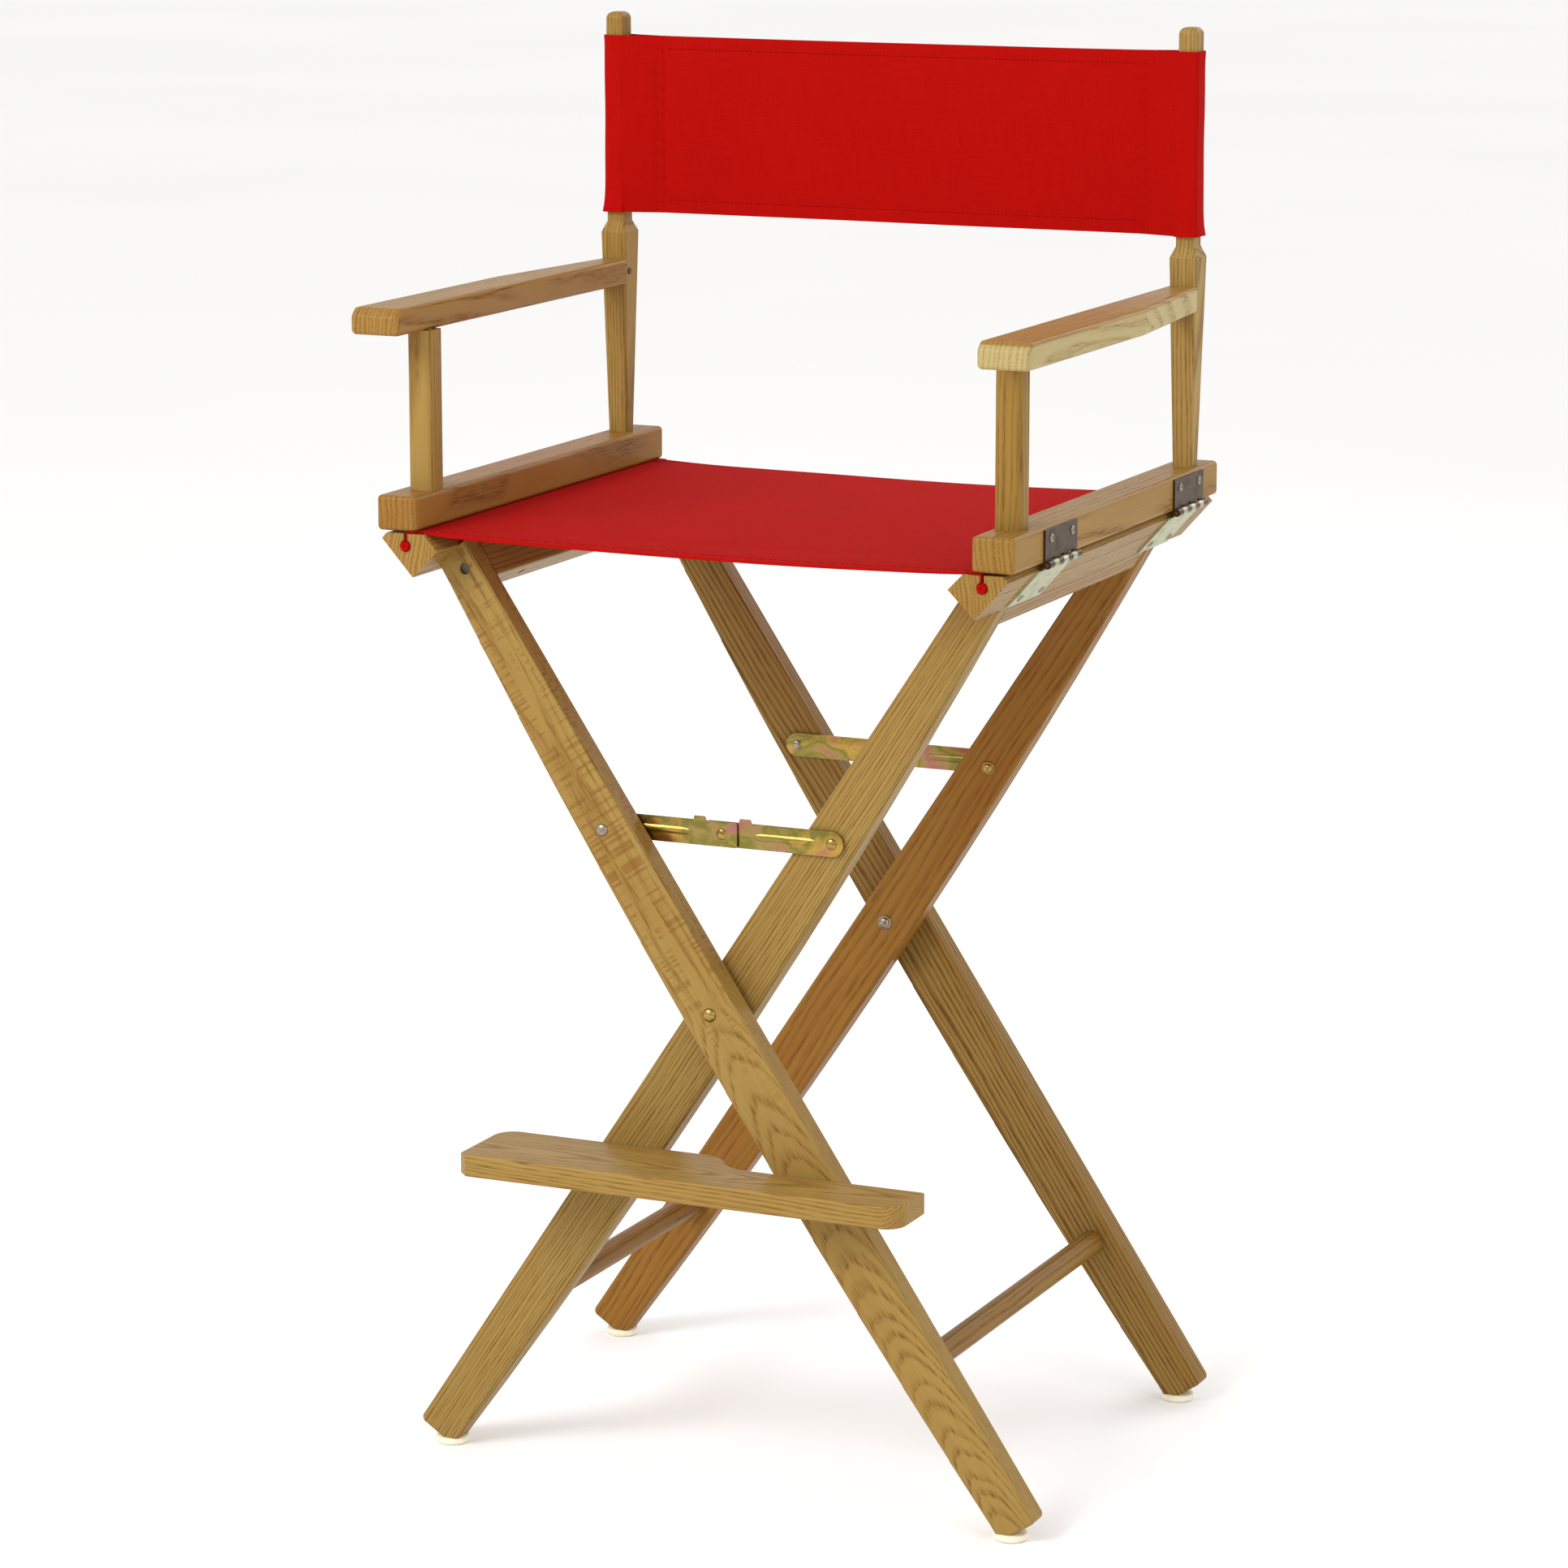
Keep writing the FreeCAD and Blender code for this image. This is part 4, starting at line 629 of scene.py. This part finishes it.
# ------------------------------------------------------------------ hinge screws
arm_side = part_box("arm_rail_right")[1][0] + 1.65 * MM
rail_corner = Vector((261.5, 0, 757.5)) * MM
rail_foot = Vector((235.0, 0, 728.0)) * MM
face_up = (rail_corner - rail_foot).normalized()
face_out = Vector((face_up.z, 0, -face_up.x))
for hand, side in (("left", -1), ("right", 1)):
    upper, lower = [], []
    for y0 in (-163.0, 117.0):
        for k, dy in enumerate((13.0, 56.0)):
            y = (y0 + dy) * MM
            spin = 0.5 + 0.9 * k + (0.7 if y0 > 0 else 0.0)
            upper.append(recessed_head((side * arm_side, y, 0.7815), (side, 0, 0), 3.4 * MM, 1.3 * MM,
                                       2.1 * MM, spin))
            p = rail_corner - face_up * 30 * MM + face_out * 1.65 * MM
            lower.append(recessed_head((side * p.x, y, p.z), (side * face_out.x, 0, face_out.z), 3.4 * MM,
                                       1.3 * MM, 2.1 * MM, spin + 0.6))
    fixing("hinge_crossheads_upper_" + hand, upper, nickel, "arm_" + hand, ["hinge_upper_screws_" + hand])
    fixing("hinge_crossheads_lower_" + hand, lower, nickel,
           "outer_frame" if hand == "left" else "inner_frame", ["hinge_lower_screws_" + hand])

# ------------------------------------------------------------------ glides
glide = [(0, 0), (2.6 * MM, 0), (2.8 * MM, 0.9 * MM), (4.4 * MM, 1.0 * MM), (4.8 * MM, 0.05 * MM),
         (11.4 * MM, 0), (12.9 * MM, 0.5 * MM), (13.8 * MM, 1.6 * MM), (14 * MM, 2.8 * MM),
         (13.9 * MM, 4.2 * MM), (13.2 * MM, 5.4 * MM), (12.2 * MM, 6 * MM), (0, 6 * MM)]
for frame_name, side, spans in (("outer", 1, ((A0, A1), (C0, C1))), ("inner", -1, ((B0, B1), (D0, D1)))):
    parts = [lathe_parts(glide, (side * 0.2515, (a + b) / 2, 0), Z, 56) for a, b in spans]
    fixing("foot_glides_" + frame_name, parts, ivory, frame_name + "_frame", ["glides_" + frame_name])


# ------------------------------------------------------------------ canvas
def under_side(grid, thick):
    """The other side of a sheet, its thickness away from the grid along the grid's own normals."""
    normal = np.cross(np.gradient(grid, axis=0), np.gradient(grid, axis=1))
    normal /= np.maximum(np.linalg.norm(normal, axis=2, keepdims=True), 1e-12)
    return grid - normal * thick


def sheet_object(name, top, under, uv, mat):
    """A closed cloth sheet between two grids of points, with its flat place in the uv layer."""
    rows, cols = top.shape[:2]
    verts = np.concatenate([top.reshape(-1, 3), under.reshape(-1, 3)])
    n = rows * cols
    faces = []
    for i in range(rows - 1):
        for j in range(cols - 1):
            a = i * cols + j
            faces.append((a, a + cols, a + cols + 1, a + 1))
            faces.append((n + a, n + a + 1, n + a + cols + 1, n + a + cols))
    edge = [i * cols for i in range(rows)] + [(rows - 1) * cols + j for j in range(1, cols)]
    edge += [i * cols + cols - 1 for i in range(rows - 2, -1, -1)] + [j for j in range(cols - 2, 0, -1)]
    for k in range(len(edge)):
        a, b = edge[k], edge[(k + 1) % len(edge)]
        faces.append((a, n + a, n + b, b))
    mesh = mesh_of(name, verts, faces)
    flat_uv = np.concatenate([uv.reshape(-1, 2), uv.reshape(-1, 2)])
    layer = mesh.uv_layers.new(name="cloth")
    loops = np.empty(len(mesh.loops), int)
    mesh.loops.foreach_get("vertex_index", loops)
    layer.data.foreach_set("uv", flat_uv[loops].astype(np.float32).ravel())
    bm = bmesh.new()
    bm.from_mesh(mesh)
    bmesh.ops.recalc_face_normals(bm, faces=bm.faces)
    bm.to_mesh(mesh)
    bm.free()
    return new_object(name, mesh, mat, 40.0)


def stitches(name, runs, mat, long=2.5, gap=0.8, r=0.34):
    """Rows of short thread stitches lying on the cloth; a run is a list of (point, outward normal)."""
    verts, faces = [], []
    for run in runs:
        travelled = 0.0
        for (p, n), (q, _) in zip(run, run[1:]):
            p, q, n = Vector(p), Vector(q), Vector(n).normalized()
            step = (q - p).length
            if step < 1e-9:
                continue
            along = (q - p) / step
            across = n.cross(along)
            s = 0.0
            while travelled + (long + gap) * MM <= step + 1e-9:
                c = p + along * (travelled + long * MM / 2)
                start = len(verts)
                for i in range(7):
                    f = i / 6
                    x = (f - 0.5) * long * MM
                    bulge = math.sin(math.pi * min(max(f, 0.04), 0.96))
                    for k in range(6):
                        a = 2 * math.pi * k / 6
                        verts.append(c + along * x + across * (math.cos(a) * r * MM * bulge ** 0.5)
                                     + n * ((math.sin(a) * r * bulge ** 0.5 + 0.30 * bulge - 0.12) * MM))
                for i in range(6):
                    for k in range(6):
                        m = (k + 1) % 6
                        faces.append((start + i * 6 + k, start + i * 6 + m, start + i * 6 + 6 + m,
                                      start + i * 6 + 6 + k))
                travelled += (long + gap) * MM
            travelled = max(0.0, travelled - step)
    mesh = mesh_of(name, verts, faces)
    mesh.uv_layers.new(name="cloth")
    return new_object(name, mesh, mat, 80)


def window(t):
    """A smooth step from 0 to 1."""
    return np.clip(t, 0, 1) ** 2 * (3 - 2 * np.clip(t, 0, 1))


seat_lo, seat_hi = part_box("seat_canvas_left")
seat_top = 763.15
sag = 2.3
slot_in = 240.4
front_y, rear_y = seat_lo[1] / MM, seat_hi[1] / MM
hem_wide = 13.0
seat_stitch_in = 9.5


def seat_z(x, y):
    """Height of the taut seat's upper side, in millimetres."""
    span = np.clip(np.abs(x) / 224.5, 0, 1)
    edge = np.minimum(y - front_y, rear_y - y)
    fall = 1.3 * np.exp(-np.maximum(edge, 0) / 9.0) * (1 - span ** 6)
    pull = 0.22 * np.exp(-(224.5 - np.abs(x)) / 26.0) * np.sin(y / 5.3 + 0.6 * np.sin(y / 17.0))
    drift = 0.35 * np.sin(x / 47.0 + 0.4) * np.sin(y / 61.0 + 1.1) * window((1 - span) * 3)
    crease = -0.35 * np.exp(-((y - front_y - 52 - 0.06 * x) / 9.0) ** 2) * window((1 - span) * 4)
    held = window((226.5 - np.abs(x)) / 6.0)
    return seat_top - sag * (1 - span ** 2) + (pull + drift + crease - fall) * held


def seat_path():
    """Positions along the sheet's width, from the left slot to the right one."""
    half = [(slot_in, 755.2), (slot_in, 758.0), (slot_in, 760.6), (slot_in - 0.15, 761.9),
            (slot_in - 0.6, 762.7), (slot_in - 1.5, 763.1)]
    xs = list(np.arange(237.5, 226.0, -1.5)) + list(np.linspace(226.0, 212.0, 10))
    xs += list(np.linspace(209.0, 0.0, 71))
    right = half + [(x, None) for x in xs]
    left = [(-x, z) for x, z in right]
    return left[:-1] + right[::-1]


def seat_rows():
    """Positions across the sheet: the hem under the front edge, the top, the hem under the rear."""
    fold = [(front_y + hem_wide, -2.1), (front_y + 8.0, -2.15), (front_y + 3.0, -2.2), (front_y + 0.8, -2.0),
            (front_y + 0.15, -1.5), (front_y, -1.05), (front_y + 0.15, -0.5), (front_y + 0.8, -0.1)]
    mid = [(y, 0.0) for y in np.linspace(front_y + 2.5, rear_y - 2.5, 120)]
    back = [(front_y + rear_y - y, dz) for y, dz in reversed(fold)]
    return fold + mid + back


path, rows = seat_path(), seat_rows()
grid = np.zeros((len(path), len(rows), 3))
uv = np.zeros((len(path), len(rows), 2))
s = 0.0
for i, (x, z) in enumerate(path):
    if i:
        pz = path[i - 1][1] or seat_top
        s += math.hypot(x - path[i - 1][0], (z or seat_top) - pz)
    held = abs(x) > 226.5
    t = 0.0
    for j, (y, dz) in enumerate(rows):
        y_out = y
        if held:
            grow = window(np.array((abs(x) - 226.5) / 8.0))
            y_out = y + float(grow) * (-4.2 if y < front_y + 14 else (0.0 if y < rear_y - 14 else 1.0))
        height = z if z is not None else float(seat_z(np.array(x), np.array(y)))
        squeeze = 0.16 if held else 1.0
        if j:
            t += math.hypot(y - rows[j - 1][0], dz - rows[j - 1][1])
        if abs(x) > slot_in - 0.4:
            grid[i, j] = (x - math.copysign(dz * squeeze, x), y_out, height)
        else:
            grid[i, j] = (x, y_out, height + dz * squeeze)
        uv[i, j] = (s * MM, t * MM)
grid *= MM
grid = grid[::-1]
uv = uv[::-1]
top, under = grid, under_side(grid, 0.85 * MM)
mid_row = len(path) // 2
if top[mid_row, 60, 2] < under[mid_row, 60, 2]:
    under = 2 * top - under
halves = {"right": slice(0, mid_row + 1), "left": slice(mid_row, len(path))}


def seat_point(x, y):
    e = 0.5
    z = float(seat_z(np.array(x), np.array(y)))
    zx = float(seat_z(np.array(x + e), np.array(y))) - float(seat_z(np.array(x - e), np.array(y)))
    zy = float(seat_z(np.array(x), np.array(y + e))) - float(seat_z(np.array(x), np.array(y - e)))
    return (Vector((x, y, z)) * MM, Vector((-zx / (2 * e), -zy / (2 * e), 1)).normalized())


for hand, side in (("left", -1), ("right", 1)):
    part = halves[hand]
    o = sheet_object("seat_cloth_" + hand, top[part], under[part], uv[part], red)
    runs = []
    for y in (front_y + seat_stitch_in, rear_y - seat_stitch_in):
        xs = np.linspace(226.0, 0.0, 24) * side
        runs.append([seat_point(x, y) for x in xs])
    sewn = stitches("seat_stitches_" + hand, runs, thread_red)
    for piece in (o, sewn):
        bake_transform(piece)
    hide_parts("seat_canvas_" + hand)

# the hem's loop round the dowel, seen at the ends of the rail's groove, where it puckers shut
pucker_r = (0.5, 2.1, 3.5, 4.1)
pucker_front, pucker_rear = (225.1, 225.7, 225.2, 224.0), (219.6, 220.2, 219.8, 219.2)
for hand, side in (("left", -1), ("right", 1)):
    cx, cz = side * 241.0, 752.5
    ring_steps = 30
    loop = np.zeros((ring_steps + 1, 60, 3))
    loop_uv = np.zeros((ring_steps + 1, 60, 2))
    for i in range(ring_steps + 1):
        a = math.radians(97) + 2 * math.pi * 0.965 * i / ring_steps
        for j in range(60):
            y = -224.2 + 443.2 * j / 59
            r = 3.95 + 0.10 * math.sin(3 * a + y / 9.0)
            tuck = min(j, 59 - j)
            if tuck < 4:
                r = pucker_r[tuck] * (1 + 0.09 * math.sin(5 * a + 0.8))
                y = -pucker_front[tuck] if y < 0 else pucker_rear[tuck]
            loop[i, j] = (cx + side * r * math.cos(a), y, cz + r * math.sin(a))
            loop_uv[i, j] = (r * a * MM, y * MM)
    l_top = loop * MM
    l_under = under_side(l_top, 0.9 * MM)
    centre = np.array([cx, 0, cz]) * MM
    out = np.linalg.norm((l_top - centre)[5, 5, [0, 2]]) - np.linalg.norm((l_under - centre)[5, 5, [0, 2]])
    if out < 0:
        l_under = 2 * l_top - l_under
    o = sheet_object("seat_hem_loop_" + hand, l_top, l_under, loop_uv, red)
    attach(o, "outer_frame" if hand == "left" else "inner_frame")
    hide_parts("seat_hem_" + hand)

# ---- the back
back_lo, back_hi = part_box("back_canvas_right")
post = joints["back_right_swing"]["pos_m"]
px, py = post[0] / MM, post[1] / MM
neck_half = (9.6, 10.85)
neck_round = 4.7
z_low, z_high = back_lo[2] / MM, back_hi[2] / MM
seam_x = 212.0
face_y = py - 1.0
back_stitch_in = 10.5
back_mid_z = 1050


def neck_loop():
    """Plan of the sleeve round the right post's neck, from its rear seam side to its front one."""
    cx, cy = neck_half[0] - neck_round, neck_half[1] - neck_round

    def contact(y, seam_y, turn):
        vx, vy = seam_x - (px - cx), seam_y - y
        return math.atan2(vy, vx) % (2 * math.pi) + turn * math.acos(neck_round / math.hypot(vx, vy))

    first = contact(py + cy, py + 0.7, -1)
    last = contact(py - cy, face_y, 1) - 2 * math.pi
    quarter = math.pi / 2
    corners = ((-cx, cy, first, quarter, 4), (cx, cy, quarter, 0.0, 10), (cx, -cy, 0.0, -quarter, 10),
               (-cx, -cy, -quarter, last, 4))
    loop = []
    for ox, oy, a, b, count in corners:
        if loop:
            end = (px + ox + neck_round * math.cos(a), py + oy + neck_round * math.sin(a))
            loop += [(loop[-1][0] + (end[0] - loop[-1][0]) * f, loop[-1][1] + (end[1] - loop[-1][1]) * f)
                     for f in (0.25, 0.5, 0.75)]
        for k in range(count + 1):
            t = a + (b - a) * k / count
            loop.append((px + ox + neck_round * math.cos(t), py + oy + neck_round * math.sin(t)))
    return loop


def back_path():
    """Plan of the right half: from behind the seam, round the post's neck, to the middle."""
    loop = neck_loop()
    points = [(203.0, py + 0.55), (207.0, py + 0.6)]
    for k in range(12):
        f = k / 12
        points.append((seam_x + (loop[0][0] - seam_x) * f, py + 0.7 + (loop[0][1] - py - 0.7) * f))
    points += loop
    last = loop[-1]
    for k in range(1, 12):
        f = k / 12
        points.append((last[0] + (seam_x - last[0]) * f, last[1] + (face_y - last[1]) * f))
    points += [(x, face_y) for x in np.linspace(seam_x, 0.0, 106)]
    return points


def back_relief(x, z, front):
    """How far the cloth stands off its plan, towards the front: seams, tension folds and edges."""
    ax = abs(x)
    v = (z - z_low) / (z_high - z_low)
    y = 0.0
    if front:
        for at_x in (209.4, 215.0):
            y -= 0.70 * math.exp(-((ax - at_x) / 1.3) ** 2) * (1 + 0.5 * math.sin(z / 1.7 + at_x))
        y += 0.80 * math.exp(-((ax - 212.2) / 1.4) ** 2)
        slack = window(np.array((206 - ax) / 60.0))
        y += float(slack) * (1.3 * math.sin(x / 88.0 - v * 2.2 + 0.5) + 0.5 * math.sin(x / 33.0 + v * 4.0))
        pull = math.exp(-abs(ax - 206) / 22.0) if ax < 206 else 0.0
        y += 0.28 * pull * math.sin(z / 5.6 + 0.8 * math.sin(z / 13.0))
        for edge in (z_low + back_stitch_in, z_high - back_stitch_in):
            if ax < 206:
                y -= 0.28 * math.exp(-((z - edge) / 1.4) ** 2)
    return y


def back_droop(x, z):
    """The free edges' sag between the seams: the top edge most, the bottom edge a little upwards."""
    if abs(x) >= seam_x:
        return 0.0
    return -0.5 * (1 - (abs(x) / seam_x) ** 2) * (1 if z > back_mid_z else -0.2)


half = back_path()
full = [(-x, y) for x, y in half[:-1]] + half[::-1]
zs = np.concatenate([[z_low, z_low + 0.5, z_low + 1.5], np.linspace(z_low + 4, z_high - 4, 62),
                     [z_high - 1.5, z_high - 0.5, z_high]])
grid = np.zeros((len(full), len(zs), 3))
uv = np.zeros((len(full), len(zs), 2))
s = 0.0
n_half = len(half)
loop_long = len(neck_loop())
behind = 14
for i, (x, y) in enumerate(full):
    if i:
        s += math.hypot(x - full[i - 1][0], y - full[i - 1][1])
    k = i if i < n_half else 2 * n_half - 2 - i
    front = k >= behind + loop_long
    around = behind <= k < behind + loop_long
    for j, z in enumerate(zs):
        flare = 0.0
        if around:
            flare = 2.2 * math.exp(-(z - z_low) / 11.0) + 0.5 * math.exp(-(z_high - z) / 6.0)
            flare += 0.12 * math.sin(z / 11.0 + x)
        dx, dy = x - math.copysign(px, x), y - py
        scale = 1 + flare / neck_half[0] if around else 1.0
        lift = back_relief(x, z, front and not around)
        grid[i, j] = (math.copysign(px, x) + dx * scale if around else x, py + dy * scale - lift,
                      z + back_droop(x, z))
        uv[i, j] = (s * MM, z * MM)
grid *= MM
top, under = grid, under_side(grid, 1.0 * MM)
mid = n_half - 1
if top[mid, 30, 1] > under[mid, 30, 1]:
    under = 2 * top - under
halves = {"left": slice(0, mid + 1), "right": slice(mid, len(full))}
for hand, side in (("left", -1), ("right", 1)):
    part = halves[hand]
    o = sheet_object("back_cloth_" + hand, top[part], under[part], uv[part], red)
    runs = []
    for at_x in (209.4, 215.0):
        run = []
        for z in np.linspace(z_high - 3.0, z_low + 3.0, 60):
            y = face_y - back_relief(at_x, z, True)
            run.append((Vector((side * at_x, y - 0.05, z)) * MM, Vector((0, -1, 0))))
        runs.append(run)
        runs.append([(Vector((side * at_x, py + 1.75, z)) * MM, Vector((0, 1, 0)))
                     for z in np.linspace(z_high - 3.0, z_low + 3.0, 4)])
    for z in (z_low + back_stitch_in, z_high - back_stitch_in):
        run = []
        for x in np.linspace(206.0, 0.0, 60):
            y = face_y - back_relief(side * x, z, True)
            run.append((Vector((side * x, y - 0.02, z + back_droop(x, z))) * MM, Vector((0, -1, 0))))
        runs.append(run)
    sewn = stitches("back_stitches_" + hand, runs, thread_red)
    # the folded hems behind the top and bottom edges
    hem_parts = []
    for level, low, high in (("low", z_low + 0.3, z_low + 12.0), ("high", z_high - 12.0, z_high - 0.3)):
        xs = np.linspace(0.0, 202.0, 80) * side
        strip = np.zeros((len(xs), 6, 3))
        strip_uv = np.zeros((len(xs), 6, 2))
        for i, x in enumerate(xs):
            for j, z in enumerate(np.linspace(low, high, 6)):
                y = face_y - back_relief(x, z, True) + 1.06
                strip[i, j] = (x, y, z + back_droop(x, z))
                strip_uv[i, j] = (x * MM, z * MM)
        near = strip * MM
        hem_parts.append(sheet_object("back_hem_%s_%s" % (hand, level), near,
                                      near + np.array([0, 0.8 * MM, 0]), strip_uv, red))
    for piece in (o, sewn):
        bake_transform(piece)
    for piece in hem_parts:
        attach(piece, "back_half_" + hand)
    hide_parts("back_canvas_" + hand)

# ------------------------------------------------------------------ floor, light, camera
bpy.ops.mesh.primitive_plane_add(size=90.0, location=(0, 0, 0))
floor = bpy.context.object
floor.name = "floor"
t = Tree("pale_floor")
cloud = t.noise(t.vector("MULTIPLY", t.coords(), (0.6, 0.6, 0.6)), detail=2.0)
t.set(Base_Color=t.mix(t.range(cloud, 0.3, 0.7, 0.0, 1.0), (0.93, 0.93, 0.928, 1), (0.95, 0.95, 0.948, 1)))
t.set(Roughness=0.9, Specular_IOR_Level=0.1)
floor.data.materials.append(t.material)

world = bpy.data.worlds.new("studio")
world.use_nodes = True
background = world.node_tree.nodes["Background"]
background.inputs[0].default_value = (1.0, 0.995, 0.985, 1)
background.inputs[1].default_value = 1.0
bpy.context.scene.world = world


def softbox(name, place, aim, size, power):
    light = bpy.data.lights.new(name, "AREA")
    light.shape = "RECTANGLE"
    light.size, light.size_y = size
    light.energy = power
    o = bpy.data.objects.new(name, light)
    bpy.context.scene.collection.objects.link(o)
    o.location = place
    o.rotation_euler = (Vector(aim) - Vector(place)).to_track_quat("-Z", "Y").to_euler()
    return o


centre = (0, 0, 0.6)
softbox("key", (-1.6, -3.2, 2.9), centre, (1.8, 1.8), 96)
softbox("fill", (3.4, -1.6, 1.9), centre, (2.2, 2.2), 22)
softbox("rim", (1.2, 3.4, 2.6), centre, (2.4, 1.6), 22)

camera = bpy.data.cameras.new("camera")
camera.sensor_width = 36.0
camera.lens = 121.0
eye = bpy.data.objects.new("camera", camera)
bpy.context.scene.collection.objects.link(eye)
eye.location = (1.6847, -3.7815, 1.4021)
eye.rotation_euler = (math.radians(90 - 11.73), 0, math.radians(24.26))
bpy.context.scene.camera = eye
bpy.context.scene.view_settings.view_transform = "Standard"
